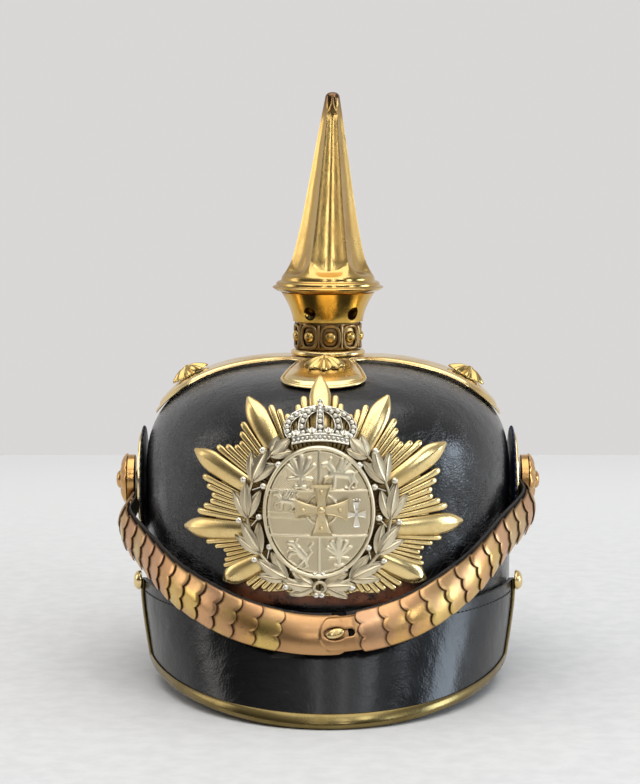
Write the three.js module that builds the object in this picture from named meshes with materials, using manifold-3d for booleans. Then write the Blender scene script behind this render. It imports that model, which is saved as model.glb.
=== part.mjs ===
// A spiked helmet: a hollow leather shell with a front peak and a neck guard, a fluted spike on a
// four-armed base, a ray plate with a badge, and chin scales from side to side.
// Millimetres, +Z up, the front faces -Y, +X is on the right of someone who faces the helmet.
import * as THREE from "three";
import { mergeVertices } from "three/addons/utils/BufferGeometryUtils.js";
import Module from "manifold-3d";

const wasm = await Module();
wasm.setup();

// Driving dimensions
const GAP = 0.35;
const SHELL = {
  halfWidth: 94.3,
  halfLength: 113,
  rimZ: 44.5,
  shoulderZ: 97,
  rise: 62.3,
  wall: 2.5,
  sideFullness: 2.8,
  frontFullness: 3.4,
};
const CROWN_Z = SHELL.shoulderZ + SHELL.rise;
const PEAK = {
  thick: 2.5,
  topZ: 50,
  bendZ: 41,
  bendOut: 1,
  halfAngle: 76,
  rimHalfWidth: 92,
  rimReach: 143,
  rimLift: 2.4,
  cornerLift: 7.5,
};
const GUARD = {
  thick: 2.5,
  topZ: 50,
  bendZ: 41,
  bendOut: 1,
  halfAngle: 76,
  rimHalfWidth: 92,
  rimReach: 144.5,
  sunk: 0.6,
  endShare: 0.3,
};
const TRIM = { onFace: 4.2, onBack: 3.6, metal: 1.1, past: 1.5 };
const STUD = { radius: 5, height: 3.4 };
const SPINE = { width: 9, thick: 1.6, startY: 88.5 };
const BASE = {
  lift: 1,
  thin: 1.6,
  centreRadius: 24,
  rootHalf: 14,
  endHalf: 21,
  widestShare: 0.8,
  frontLength: 83.5,
  sideLength: 88,
  turnDeg: -2,
};
const BASE_STAR = { radius: 10.3, height: 5.4, points: 8, frontAt: 54.5, sideAt: 69.5 };
const COLLAR = { radius: 19.2, height: 2.8 };
const PEARLS = { count: 9, firstDeg: 4, height: 13.7, radius: 16.2, proud: 2.1 };
const NECK = { height: 14.7, wall: 1.3, ventRadius: 3.4, ventShare: 0.31 };
const VENT_DEGREES = [-30, 42, 114, 186, 258];
const FLUTES = { count: 6, ridgeDeg: 31, depth: 0.15, fromZ: 211, toZ: 290 };
const SPIKE = { flangeRadius: 28.6, tipZ: 296.6, lean: 0.024 };
const PLATE = { x: -4, z: 90, lift: 1.7, thick: 1.2, bulge: 3.6, lean: 24, leanFrom: 97, leanTo: 162 };
const SHIELD = { x: -4.6, z: 98.3, halfWidth: 26.6, halfHeight: 31.5, back: 4.4, front: 7.2 };
const WREATH = { halfWidth: 40.6, halfHeight: 39.4, back: 4.4, front: 6.8, halfAngle: 152 };
const BADGE_CROWN = { x: -4, bottomZ: 131.5, topZ: 151, back: 3.5, front: 6.6 };
const CROSS = { x: -3.4, z: 99.8, half: 12.2, armDeg: 27, waist: 4.6, back: 7.7, front: 9.1 };
const SIDE = { y: -2, z: 97 };
const COCKADE = { radius: 28, teeth: 18, disc: 1.6, ringInner: 20.5, ringOuter: 24.6, ring: 1 };
const ROSETTE = { radius: 13.5, height: 10, lobes: 6 };
const STRAP = { thick: 1.8, below: 8, above: 11.6, leanDeg: 20 };
const SCALE = { count: 13, halfWidth: 9.8, metal: 0.7, arch: 2.6, overlap: 3.6, raise: 1.15, lobe: 2 };
const BUCKLE = { plateFrom: -24.6, plateTo: 9, tongueFrom: -4.5, tongueTo: 16.6, buttonX: 3, slotTo: 12 };
const BUTTON_HOLE = { halfLong: 5.2, halfHigh: 3.2, halfSlot: 1.9 };

// Finishes
const finish = (color, roughness, metalness) => new THREE.MeshStandardMaterial({ color, roughness, metalness });
const lacquer = finish(0x141416, 0.25, 0);
const strapLeather = finish(0x1b1613, 0.7, 0);
const brass = finish(0xb8923f, 0.3, 1);
const darkBrass = finish(0x8a7440, 0.4, 1);
const copperBrass = finish(0xb98455, 0.35, 1);
const silver = finish(0xb9b6aa, 0.4, 1);
const blackDisc = finish(0x0d0d0f, 0.5, 0);
const blueDisc = finish(0x1c2138, 0.5, 0);

const helmet = new THREE.Group();

// Small helpers
const { sin, cos, sqrt, abs, max, min, hypot, atan2, round, floor, PI } = Math;
const rad = THREE.MathUtils.degToRad;
const mix = THREE.MathUtils.lerp;
const smooth = THREE.MathUtils.smoothstep;

// Adds one named mesh.
function add(name, geometry, material) {
  const mesh = new THREE.Mesh(geometry, material);
  mesh.name = name;
  helmet.add(mesh);
}

// Moves every vertex of a closed geometry by place(x, y, z) and turns its faces outwards.
function warp(source, place) {
  source.deleteAttribute("normal");
  source.deleteAttribute("uv");
  const geometry = mergeVertices(source, 1e-5);
  const at = geometry.attributes.position;
  for (let i = 0; i < at.count; i++) {
    const p = place(at.getX(i), at.getY(i), at.getZ(i));
    at.setXYZ(i, p.x, p.y, p.z);
  }
  return facingOut(geometry);
}

// Reverses the triangles of a closed geometry whose volume comes out negative.
function facingOut(geometry) {
  const at = geometry.attributes.position;
  const index = geometry.index.array;
  const corner = [0, 1, 2].map(() => new THREE.Vector3());
  let volume = 0;
  for (let i = 0; i < index.length; i += 3) {
    corner.forEach((c, k) => c.fromBufferAttribute(at, index[i + k]));
    volume += corner[0].dot(corner[1].cross(corner[2]));
  }
  if (volume < 0) {
    for (let i = 0; i < index.length; i += 3) {
      [index[i], index[i + 1]] = [index[i + 1], index[i]];
    }
  }
  return geometry;
}

// A slab of across by along cells, placed by place(u, v, w) with all three from 0 to 1.
function slab(across, along, place) {
  const box = new THREE.BoxGeometry(1, 1, 1, across, along, 1);
  return warp(box, (x, y, z) => place(x + 0.5, y + 0.5, z + 0.5));
}

// A turned shape: profile rows of [radius, level], then place(angle, radius, level).
function turned(profile, segments, place) {
  const points = profile.map(([r, level]) => new THREE.Vector2(r, level));
  const lathe = new THREE.LatheGeometry(points, segments);
  return warp(lathe, (x, y, z) => place(atan2(x, z), hypot(x, z), y));
}

// A disc with shares of its radius as rings, a back (level 0) and a front (level 1).
function disc(shares, segments, place) {
  const back = shares.map((s) => [s, 0]);
  const front = shares.map((s) => [s, 1]).reverse();
  return turned([[0, 0], ...back, ...front, [0, 1]], segments, place);
}

// Round the vertical axis, angle 0 at the front.
const upright = (angle, r, z) => new THREE.Vector3(r * sin(angle), -r * cos(angle), z);

function solid(geometry) {
  const merged = mergeVertices(geometry, 1e-4);
  const vertProperties = merged.attributes.position.array;
  const triVerts = new Uint32Array(merged.index.array);
  return new wasm.Manifold(new wasm.Mesh({ numProp: 3, vertProperties, triVerts }));
}

function geometryOf(body) {
  const mesh = body.getMesh();
  const geometry = new THREE.BufferGeometry();
  geometry.setAttribute("position", new THREE.BufferAttribute(mesh.vertProperties, 3));
  geometry.setIndex(new THREE.BufferAttribute(mesh.triVerts, 1));
  return geometry;
}

// Cuts away what lies under the table, which leaves a flat face to rest on.
function flatBelow(geometry) {
  const under = new THREE.BoxGeometry(600, 600, 40);
  under.translate(0, 0, -20);
  under.deleteAttribute("normal");
  under.deleteAttribute("uv");
  return geometryOf(solid(geometry).subtract(solid(under)));
}

// The shell's outer form
const fullness = (angle) => {
  const forward = max(0, cos(angle));
  return mix(SHELL.sideFullness, SHELL.frontFullness, forward * forward);
};

// A point of the wall at an oval angle: share 0 at the crown, 0.8 at the shoulder, 1 at the rim.
function shellPoint(angle, share, out) {
  const power = 2 / fullness(angle);
  const down = min(share / 0.8, 1) * (PI / 2);
  const wide = sin(down) ** power;
  const high = max(0, cos(down)) ** power;
  const belowShoulder = max(0, share - 0.8) / 0.2;
  return new THREE.Vector3(
    (SHELL.halfWidth + out) * wide * sin(angle),
    -(SHELL.halfLength + out) * wide * cos(angle),
    SHELL.shoulderZ + (SHELL.rise + out) * high - belowShoulder * (SHELL.shoulderZ - SHELL.rimZ),
  );
}

// A point over plan position (x, y), lifted out along the dome's normal.
function domeHeight(x, y) {
  const angle = atan2(x / SHELL.halfWidth, -y / SHELL.halfLength);
  const n = fullness(angle);
  const share = min(hypot(x / SHELL.halfWidth, y / SHELL.halfLength), 1);
  return SHELL.shoulderZ + SHELL.rise * (1 - share ** n) ** (1 / n);
}

function domePoint(x, y, out) {
  const step = 0.05;
  const slopeX = (domeHeight(x + step, y) - domeHeight(x - step, y)) / (2 * step);
  const slopeY = (domeHeight(x, y + step) - domeHeight(x, y - step)) / (2 * step);
  const normal = new THREE.Vector3(-slopeX, -slopeY, 1).normalize();
  return new THREE.Vector3(x, y, domeHeight(x, y)).addScaledVector(normal, out);
}

function shell() {
  const domeRings = 8;
  const shares = Array.from({ length: domeRings }, (_, i) => (0.8 * (i + 1)) / domeRings);
  return disc([...shares, 1], 44, (angle, share, level) =>
    shellPoint(angle, share, level ? 0 : -SHELL.wall),
  );
}

// The peak and the neck guard: sheets that hang from the shell's outside and flare to a rim
function skirtOuter(part, rim, facing, u, v) {
  const angle = facing + u * rad(part.halfAngle);
  const out = GAP + part.thick;
  const oval = (grow, z) =>
    new THREE.Vector3((SHELL.halfWidth + grow) * sin(angle), -(SHELL.halfLength + grow) * cos(angle), z);
  const top = oval(out, part.topZ);
  const bend = oval(out + part.bendOut, part.bendZ);
  const edge = rim(u, angle, bend);
  const a = (1 - v) * (1 - v);
  const b = 2 * v * (1 - v);
  return top.multiplyScalar(a).addScaledVector(bend, b).addScaledVector(edge, v * v);
}

function skirtPoint(part, rim, facing, u, v, depth) {
  const step = 0.002;
  const at = skirtOuter(part, rim, facing, u, v);
  const alongU = skirtOuter(part, rim, facing, u + step, v).sub(at);
  const alongV = skirtOuter(part, rim, facing, u, v + step).sub(at);
  const normal = alongU.cross(alongV).normalize();
  const outward = normal.x * at.x + normal.y * at.y > 0 ? 1 : -1;
  return at.addScaledVector(normal, -outward * depth);
}

function peakRim(u, angle) {
  const back = 1 - cos(angle);
  const lift = PEAK.rimLift + (PEAK.cornerLift * back) / (1 - cos(rad(PEAK.halfAngle)));
  return new THREE.Vector3(PEAK.rimHalfWidth * sin(angle), -PEAK.rimReach * cos(angle), lift);
}

function guardRim(u, angle, bend) {
  const full = new THREE.Vector3(GUARD.rimHalfWidth * sin(angle), -GUARD.rimReach * cos(angle), -GUARD.sunk);
  const share = mix(1, GUARD.endShare, smooth(abs(u), 0.45, 1));
  return bend.clone().lerp(full, share);
}

const peakPoint = (u, v, depth) => skirtPoint(PEAK, peakRim, 0, u, v, depth);
const guardPoint = (u, v, depth) => skirtPoint(GUARD, guardRim, PI, u, v, depth);

const frontPeak = () => slab(22, 5, (u, v, w) => peakPoint(2 * u - 1, v, w * PEAK.thick));
const neckGuard = () => flatBelow(slab(22, 5, (u, v, w) => guardPoint(2 * u - 1, v, w * GUARD.thick)));

// The brass channel follows the peak's two sides and its front edge, mitred at the corners.
function peakTrim() {
  // The back leg is folded flat at the edge where the leather lies on the shell, and opens below it.
  const down = [
    { v: 0, leg: "folded" },
    { v: 0.15, leg: "folded" },
    { v: 0.3, leg: "folded" },
    { v: 0.42, leg: "turned" },
    { v: 0.6, leg: "open" },
    { v: 0.8, leg: "open" },
  ];
  const frontSteps = 22;
  const sideOf = (u) => down.map((row) => ({ ...row, u, inU: -u, inV: 0 }));
  const cornerOf = (u) => ({ u, v: 1, leg: "open", inU: -u, inV: 1 });
  const front = Array.from({ length: frontSteps - 1 }, (_, i) => {
    return { u: (2 * (i + 1)) / frontSteps - 1, v: 1, leg: "open", inU: 0, inV: 1 };
  });
  const route = [...sideOf(-1), cornerOf(-1), ...front, cornerOf(1), ...sideOf(1).reverse()];

  const face = -(GAP + TRIM.metal);
  const back = PEAK.thick + GAP + TRIM.metal;
  const section = new THREE.Shape([
    new THREE.Vector2(-TRIM.past, face + 0.9),
    new THREE.Vector2(-TRIM.past + 0.7, face),
    new THREE.Vector2(TRIM.onFace, face),
    new THREE.Vector2(TRIM.onFace, -GAP),
    new THREE.Vector2(-GAP, -GAP),
    new THREE.Vector2(-GAP, PEAK.thick + GAP),
    new THREE.Vector2(TRIM.onBack, PEAK.thick + GAP),
    new THREE.Vector2(TRIM.onBack, back),
    new THREE.Vector2(-TRIM.past, back),
  ]);
  const sideLength = peakPoint(0.99, 1, 0).distanceTo(peakPoint(1, 1, 0)) / 0.01;
  const downLength = peakPoint(0, 0.5, 0).distanceTo(peakPoint(0, 1, 0)) / 0.5;
  const steps = route.length - 1;
  const band = new THREE.ExtrudeGeometry(section, { depth: 1, steps, bevelEnabled: false });
  const bent = warp(band, (inset, depth, along) => {
    const at = route[round(along * steps)];
    const onLeg = depth > PEAK.thick;
    const foldDepth = depth > back - GAP ? 0 : inset > 0 ? 0.2 : 0.4;
    const d = onLeg && at.leg === "folded" ? PEAK.thick - foldDepth : depth;
    const i = onLeg && at.leg !== "open" ? min(inset, -GAP) : inset;
    return peakPoint(at.u + (at.inU * i) / sideLength, at.v - (at.inV * i) / downLength, d);
  });
  return flatBelow(bent);
}

function peakStud(side) {
  const seat = peakPoint(side * 0.985, 0.04, -(TRIM.metal + 2 * GAP));
  const outward = peakPoint(side * 0.985, 0.04, -10).sub(peakPoint(side * 0.985, 0.04, 0)).normalize();
  const turn = new THREE.Quaternion().setFromUnitVectors(new THREE.Vector3(0, 0, 1), outward);
  const profile = [[0, 0], [STUD.radius, 0], [STUD.radius * 0.86, 0.55], [STUD.radius * 0.5, 0.88], [0, 1]];
  return turned(profile, 16, (angle, r, level) =>
    upright(angle, r, level * STUD.height).applyQuaternion(turn).add(seat),
  );
}

// The rear strip runs from the base's rear arm down the shell and over the neck guard.
function rearSpine() {
  const half = SPINE.width / 2;
  const route = (share, x, out) => {
    const domeShare = 0.3;
    const wallShare = 0.62;
    const overTop = GUARD.topZ + 3;
    if (share <= domeShare) {
      const y = mix(SPINE.startY, SHELL.halfLength - 0.5, share / domeShare);
      return domePoint(x, y, out);
    }
    if (share <= wallShare) {
      const t = (share - domeShare) / (wallShare - domeShare);
      const curve = SHELL.halfLength * (1 - sqrt(1 - (x / SHELL.halfWidth) ** 2));
      const step = smooth(t, 0.7, 1) * (GUARD.thick + GAP);
      return new THREE.Vector3(x, SHELL.halfLength - curve + out + step, mix(SHELL.shoulderZ - 4, overTop, t));
    }
    const t = (share - wallShare) / (1 - wallShare);
    return guardPoint(-x / (SHELL.halfWidth * rad(GUARD.halfAngle)), mix(0.04, 0.97, t), -out);
  };
  return slab(2, 18, (u, v, w) => {
    const crown = u === 0.5 ? 1 : 0.6;
    return route(v, (2 * u - 1) * half, 2 * GAP + w * SPINE.thick * crown);
  });
}

// The four-armed base, drawn as a radius for each direction
const BASE_OCTANT_DEGREES = [0, 6, 11, 14.5, 17.5, 21, 27, 34, 45];

function armRadius(turn, length) {
  const widest = length * BASE.widestShare;
  const halfAt = (d) => {
    if (d > length) return 0;
    if (d > widest) return BASE.endHalf * sqrt(1 - ((d - widest) / (length - widest)) ** 2);
    return mix(BASE.rootHalf, BASE.endHalf, max(0, d - 20) / (widest - 20));
  };
  let low = 0;
  let high = length;
  for (let i = 0; i < 40; i++) {
    const r = (low + high) / 2;
    if (halfAt(r * cos(turn)) >= r * sin(turn)) low = r;
    else high = r;
  }
  return max(low, BASE.centreRadius);
}

function crossBase() {
  const perOctant = BASE_OCTANT_DEGREES.length - 1;
  const segments = 8 * perOctant;
  const tops = [
    { share: 0.26, top: BASE.thin },
    { share: 0.55, top: 2.2 },
    { share: 0.78, top: 2.2 },
    { share: 0.92, top: 3 },
    { share: 1, top: 2.4 },
  ];
  const topOf = (share, r) => {
    return r < COLLAR.radius + 2 ? BASE.thin : tops.find((row) => row.share >= share - 1e-4).top;
  };
  return disc(tops.map((row) => row.share), segments, (angle, share, level) => {
    const step = (round((angle / (2 * PI)) * segments) + segments) % segments;
    const octant = floor(step / perOctant);
    const k = step % perOctant;
    const degrees = octant % 2 ? BASE_OCTANT_DEGREES[perOctant - k] : BASE_OCTANT_DEGREES[k];
    const arm = floor((octant + 1) / 2) % 4;
    const turn = rad(degrees);
    const length = arm % 2 ? BASE.sideLength : BASE.frontLength;
    const r = share * armRadius(turn, length);
    const heading = rad(90 * arm + BASE.turnDeg) + (octant % 2 ? -turn : turn);
    const out = BASE.lift + level * topOf(share, r);
    return domePoint(r * sin(heading), -r * cos(heading), out);
  });
}

function baseStar(heading, distance) {
  const seat = domePoint(distance * sin(heading), -distance * cos(heading), 0);
  const above = domePoint(distance * sin(heading), -distance * cos(heading), 1);
  const outward = above.sub(seat);
  const turn = new THREE.Quaternion().setFromUnitVectors(new THREE.Vector3(0, 0, 1), outward);
  const foot = seat.addScaledVector(outward, BASE.lift + 2.2 + GAP);
  const profile = [[0, 0], [1, 0], [1, 0.18], [0.62, 0.55], [0.3, 0.9], [0, 1]];
  const segments = 2 * BASE_STAR.points;
  return turned(profile, segments, (angle, share, level) => {
    const tip = round((angle / (2 * PI)) * segments) % 2 === 0;
    const r = BASE_STAR.radius * share * (tip || share < 0.5 ? 1 : 0.74);
    return upright(angle, r, level * BASE_STAR.height).applyQuaternion(turn).add(foot);
  });
}

// The stack on the crown, each piece a gap above the one below
const COLLAR_Z = CROWN_Z + BASE.lift + BASE.thin + GAP;
const PEARL_Z = COLLAR_Z + COLLAR.height + GAP;
const NECK_Z = PEARL_Z + PEARLS.height + GAP;
const SPIKE_Z = NECK_Z + NECK.height + GAP;

function collar() {
  const { radius, height } = COLLAR;
  const profile = [[8, 0], [radius - 0.6, 0], [radius, 0.3], [radius - 0.4, 0.8], [radius - 2, 1], [8, 1]];
  return turned([...profile, profile[0]], 28, (angle, r, level) => upright(angle, r, COLLAR_Z + level * height));
}

function pearlRing() {
  const { radius, proud, height, count } = PEARLS;
  const rows = [0, 0.1, 0.17, 0.5, 0.83, 0.9, 1];
  const rims = [0.7, 1, 0, 0, 0, 1, 0.7];
  const outer = rows.map((level, i) => [radius + rims[i] * 1.7, level]);
  const profile = [[radius - 2, 0], ...outer, [radius - 2, 1]];
  return turned([...profile, profile[0]], 4 * count, (angle, r, level) => {
    const spacing = (2 * PI) / count;
    const turn = angle + rad(PEARLS.firstDeg);
    const off = ((angle / spacing) % 1) - round((angle / spacing) % 1);
    const reach = 1 - (off / 0.42) ** 2 - ((level - 0.5) / 0.38) ** 2;
    const boss = abs(r - radius) < 1e-3 ? proud * sqrt(max(0, reach)) : 0;
    return upright(turn, r + boss, PEARL_Z + level * height);
  });
}

function spikeNeck() {
  const rows = [
    { level: 0, r: 18.1 },
    { level: 0.32, r: 18.9 },
    { level: 0.66, r: 21.5 },
    { level: 1, r: 24 },
  ];
  const outer = rows.map(({ level, r }) => [r, level]);
  const inner = rows.map(({ level, r }) => [r - NECK.wall, level]).reverse();
  const tube = turned([...outer, ...inner, outer[0]], 30, (angle, r, level) =>
    upright(angle, r, NECK_Z + level * NECK.height),
  );
  let body = solid(tube);
  for (const degrees of VENT_DEGREES) {
    const drill = new THREE.CylinderGeometry(NECK.ventRadius, NECK.ventRadius, 20, 10);
    drill.deleteAttribute("normal");
    drill.deleteAttribute("uv");
    drill.translate(0, -20, 0);
    drill.rotateZ(rad(degrees));
    drill.translate(0, 0, NECK_Z + NECK.ventShare * NECK.height);
    body = body.subtract(solid(drill));
  }
  return geometryOf(body);
}

function spike() {
  const outer = [
    { z: SPIKE_Z, r: 24.6 },
    { z: SPIKE_Z + 2.5, r: SPIKE.flangeRadius },
    { z: SPIKE_Z + 5, r: 26.6 },
    { z: SPIKE_Z + 6, r: 24.4 },
    { z: 202.5, r: 23.7 },
    { z: 205.5, r: 21.6 },
    { z: 210, r: 19.3 },
    { z: 217, r: 17.3 },
    { z: 231, r: 14.3 },
    { z: 251, r: 10.9 },
    { z: 271, r: 7.6 },
    { z: 293.5, r: 3.8 },
    { z: 295.6, r: 2.6 },
    { z: SPIKE.tipZ, r: 0 },
  ];
  const inner = [
    { z: 280, r: 0 },
    { z: 251, r: 6.4 },
    { z: 222, r: 12 },
    { z: 206, r: 17.6 },
    { z: SPIKE_Z, r: 22 },
  ];
  const profile = [...inner, ...outer].map(({ z, r }) => [r, z]);
  const perFlute = 4;
  return turned(profile, FLUTES.count * perFlute, (angle, r, z) => {
    const turn = angle + rad(FLUTES.ridgeDeg);
    const hollow = abs(sin((angle * FLUTES.count) / 2));
    const fade = smooth(z, FLUTES.fromZ - 2, FLUTES.fromZ + 9) * (1 - smooth(z, FLUTES.toZ - 6, FLUTES.toZ + 4));
    const isOuter = z < FLUTES.toZ + 10 && outer.some((row) => abs(row.z - z) < 1e-3 && abs(row.r - r) < 1e-3);
    const at = upright(turn, isOuter ? r * (1 - FLUTES.depth * hollow * fade) : r, z);
    at.x += SPIKE.lean * max(0, z - 199);
    return at;
  });
}

// The front plate and its badge: a place (x, z) seen from the front, lifted out from the shell's wall
function platePoint(x, z, out) {
  const wide = SHELL.halfWidth + PLATE.lift + out;
  const long = SHELL.halfLength + PLATE.lift + out;
  const leaning = max(0, z - PLATE.leanFrom) / (PLATE.leanTo - PLATE.leanFrom);
  return new THREE.Vector3(x, -long * sqrt(1 - (x / wide) ** 2) + PLATE.lean * leaning ** 3.2, z);
}

const RAYS = [
  { deg: 0, length: 71 },
  { deg: 28, length: 70 },
  { deg: 58, length: 72 },
  { deg: 91, length: 70 },
  { deg: 118, length: 58 },
  { deg: 150, length: 37 },
  { deg: 180, length: 34 },
  { deg: 210, length: 37 },
  { deg: 239, length: 55 },
  { deg: 266, length: 67 },
  { deg: 299, length: 70 },
  { deg: 330, length: 70 },
  { deg: 360, length: 71 },
];

function starPlate() {
  const perGap = 6;
  const segments = 12 * perGap;
  const notch = [1, 0.86, 0.79, 0.74, 0.79, 0.86];
  const shares = [0.36, 0.7, 0.86, 1];
  const swell = [1, 0.8, 0.5, 0];
  return disc(shares, segments, (angle, share, level) => {
    const step = (round((angle / (2 * PI)) * segments) + segments) % segments;
    const ray = floor(step / perGap);
    const k = step % perGap;
    const length = mix(RAYS[ray].length, RAYS[ray + 1].length, k / perGap);
    const turn = rad(mix(RAYS[ray].deg, RAYS[ray + 1].deg, k / perGap));
    const depth = length < 45 ? 1 : notch[k];
    const r = share * length * depth;
    const near = shares.findIndex((s) => s >= share - 1e-4);
    const relief = share === 0 ? 1 : swell[max(0, near)];
    const out = level ? PLATE.thick + (PLATE.bulge - PLATE.thick) * relief : 0;
    return platePoint(PLATE.x + r * sin(turn), PLATE.z + r * cos(turn), out);
  });
}

function shield() {
  const rows = [
    { share: 0.4, front: SHIELD.front },
    { share: 0.84, front: SHIELD.front - 0.8 },
    { share: 0.92, front: SHIELD.front },
    { share: 1, front: SHIELD.front - 0.8 },
  ];
  return disc(rows.map((row) => row.share), 28, (angle, share, level) => {
    const row = rows.find((candidate) => candidate.share >= share - 1e-4);
    const x = SHIELD.x + share * SHIELD.halfWidth * sin(angle);
    const z = SHIELD.z + share * SHIELD.halfHeight * cos(angle);
    return platePoint(x, z, level ? row.front : SHIELD.back);
  });
}

function laurelWreath() {
  const sprays = 28;
  return slab(sprays, 2, (u, v, w) => {
    const turn = PI + (2 * u - 1) * rad(WREATH.halfAngle);
    const leaf = round(u * sprays) % 2 ? 1 : 0.93;
    const reach = v * mix(1, 0.5, smooth(abs(2 * u - 1), 0.75, 1));
    const wide = mix(SHIELD.halfWidth + GAP, WREATH.halfWidth * leaf, reach);
    const high = mix(SHIELD.halfHeight + GAP, WREATH.halfHeight * leaf, reach);
    const out = w ? mix(WREATH.front, WREATH.front - 0.6, v) : WREATH.back;
    return platePoint(SHIELD.x + wide * sin(turn), SHIELD.z + high * cos(turn), out);
  });
}

function badgeCrown() {
  const halves = [
    { share: 0, half: 11 },
    { share: 0.2, half: 12.4 },
    { share: 0.5, half: 16.4 },
    { share: 0.68, half: 14 },
    { share: 0.8, half: 6 },
    { share: 0.88, half: 2.6 },
    { share: 1, half: 2 },
  ];
  const rows = halves.length - 1;
  return slab(6, rows, (u, v, w) => {
    const row = halves[round(v * rows)];
    const x = BADGE_CROWN.x + (2 * u - 1) * row.half;
    const z = mix(BADGE_CROWN.bottomZ, BADGE_CROWN.topZ, row.share);
    return platePoint(x, z, mix(BADGE_CROWN.back, BADGE_CROWN.front, w));
  });
}

function shieldCross() {
  const octant = [0, 13, CROSS.armDeg, 38, 45];
  const perOctant = octant.length - 1;
  const segments = 8 * perOctant;
  return disc([0.5, 1], segments, (angle, share, level) => {
    const step = (round((angle / (2 * PI)) * segments) + segments) % segments;
    const part = floor(step / perOctant);
    const k = step % perOctant;
    const degrees = part % 2 ? octant[perOctant - k] : octant[k];
    const beyond = max(0, degrees - CROSS.armDeg) / (45 - CROSS.armDeg);
    const edge = mix(CROSS.half / cos(rad(min(degrees, CROSS.armDeg))), CROSS.waist, beyond ** 0.5);
    const heading = rad(90 * floor((part + 1) / 2)) + rad(part % 2 ? -degrees : degrees);
    const x = CROSS.x + share * edge * sin(heading);
    const z = CROSS.z + share * edge * cos(heading);
    return platePoint(x, z, level ? CROSS.front : CROSS.back);
  });
}

// The cockades and bosses stand on the shell's sides, turned about X.
const COCKADE_X = SHELL.halfWidth + GAP;
const STRAP_END_X = COCKADE_X + COCKADE.disc + COCKADE.ring + GAP;
const ROSETTE_X = STRAP_END_X + STRAP.thick + GAP;
const sideways = (side, angle, r, x) =>
  new THREE.Vector3(side * x, SIDE.y + r * sin(angle), SIDE.z + r * cos(angle));

function cockade(side) {
  const { disc: thick, ring, ringInner, ringOuter, radius } = COCKADE;
  const profile = [
    [0, 0], [radius, 0], [radius, thick], [ringOuter, thick], [ringOuter - 0.5, thick + ring],
    [ringInner, thick + ring], [ringInner - 0.8, thick], [0, thick],
  ];
  const segments = 2 * COCKADE.teeth;
  return turned(profile, segments, (angle, r, x) => {
    const valley = round((angle / (2 * PI)) * segments) % 2 !== 0;
    const edge = r > ringOuter + 0.5 && valley ? r - 1 : r;
    return sideways(side, angle, edge, COCKADE_X + x);
  });
}

function rosette(side) {
  const { radius, height, lobes } = ROSETTE;
  const profile = [[0, 0], [0.94, 0], [0.94, 0.35], [1, 0.45], [0.86, 0.72], [0.45, 0.84], [0.28, 1], [0, 1]];
  const segments = 4 * lobes;
  return turned(profile, segments, (angle, share, level) => {
    const dip = share > 0.8 ? 0.06 * (1 - abs(cos((angle * lobes) / 2))) : 0;
    return sideways(side, angle, radius * (share - dip), ROSETTE_X + level * height);
  });
}

// The chin strap's route, from the left boss round the front to the right boss, where it hangs higher
const FRONT = { x: 0, y: -124.2, z: 40.6 };
const BOSS = { x: ROSETTE_X, y: SIDE.y, z: SIDE.z };
const LEFT_ROUTE = [
  { x: 35, y: -116.3, z: 43.9 },
  { x: 68.5, y: -89.5, z: 54.6 },
  { x: 90.5, y: -52, z: 67 },
  { x: 102.9, y: -22, z: 77.4 },
  { x: ROSETTE_X - 0.3, y: -10.8, z: 87.2 },
  BOSS,
];
const RIGHT_ROUTE = [
  { x: 35, y: -116.3, z: 46.4 },
  { x: 66.5, y: -91.2, z: 61 },
  { x: 87.5, y: -57.5, z: 76.5 },
  { x: 101.4, y: -26, z: 86.4 },
  { x: ROSETTE_X - 0.2, y: -13.8, z: 91 },
  BOSS,
];
const rightHalf = [FRONT, ...RIGHT_ROUTE].map(({ x, y, z }) => new THREE.Vector3(x, y, z));
const leftHalf = LEFT_ROUTE.map(({ x, y, z }) => new THREE.Vector3(-x, y, z)).reverse();
const chinRoute = new THREE.CatmullRomCurve3([...leftHalf, ...rightHalf], false, "centripetal");
chinRoute.arcLengthDivisions = 600;
const CHIN_LENGTH = chinRoute.getLength();
const LEFT_CHIN = chinRoute.getLengths()[300];
const RIGHT_CHIN = CHIN_LENGTH - LEFT_CHIN;
const chinLength = (side) => (side < 0 ? LEFT_CHIN : RIGHT_CHIN);

// A point by the strap: along from the front middle, up across its width, out from its face.
function strapPoint(along, up, out) {
  const share = THREE.MathUtils.clamp((along + LEFT_CHIN) / CHIN_LENGTH, 0, 1);
  const at = chinRoute.getPointAt(share);
  const tangent = chinRoute.getTangentAt(share);
  const lean = rad(STRAP.leanDeg) * (1 - smooth(abs(along), 10, CHIN_LENGTH * 0.31));
  const outward = new THREE.Vector3(at.x / SHELL.halfWidth ** 2, at.y / SHELL.halfLength ** 2, 0).normalize();
  outward.multiplyScalar(cos(lean)).setZ(sin(lean));
  const upward = new THREE.Vector3().crossVectors(outward, tangent).normalize();
  const normal = new THREE.Vector3().crossVectors(tangent, upward);
  return at.addScaledVector(upward, up).addScaledVector(normal, out);
}

const arched = (up) => SCALE.arch * (1 - (up / SCALE.halfWidth) ** 2);
const LEATHER_FACE = -GAP;

function strap(side, endAlong) {
  return slab(2, 24, (u, v, w) => {
    const length = chinLength(side);
    const along = side * mix(endAlong, length, v);
    const nearBoss = smooth(abs(along), length - 16, length - 2);
    const up = mix(-STRAP.below, mix(STRAP.above, STRAP.below, nearBoss), u);
    return strapPoint(along, up, LEATHER_FACE - w * STRAP.thick);
  });
}

const BOSS_CLEAR = 14.7;

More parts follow.
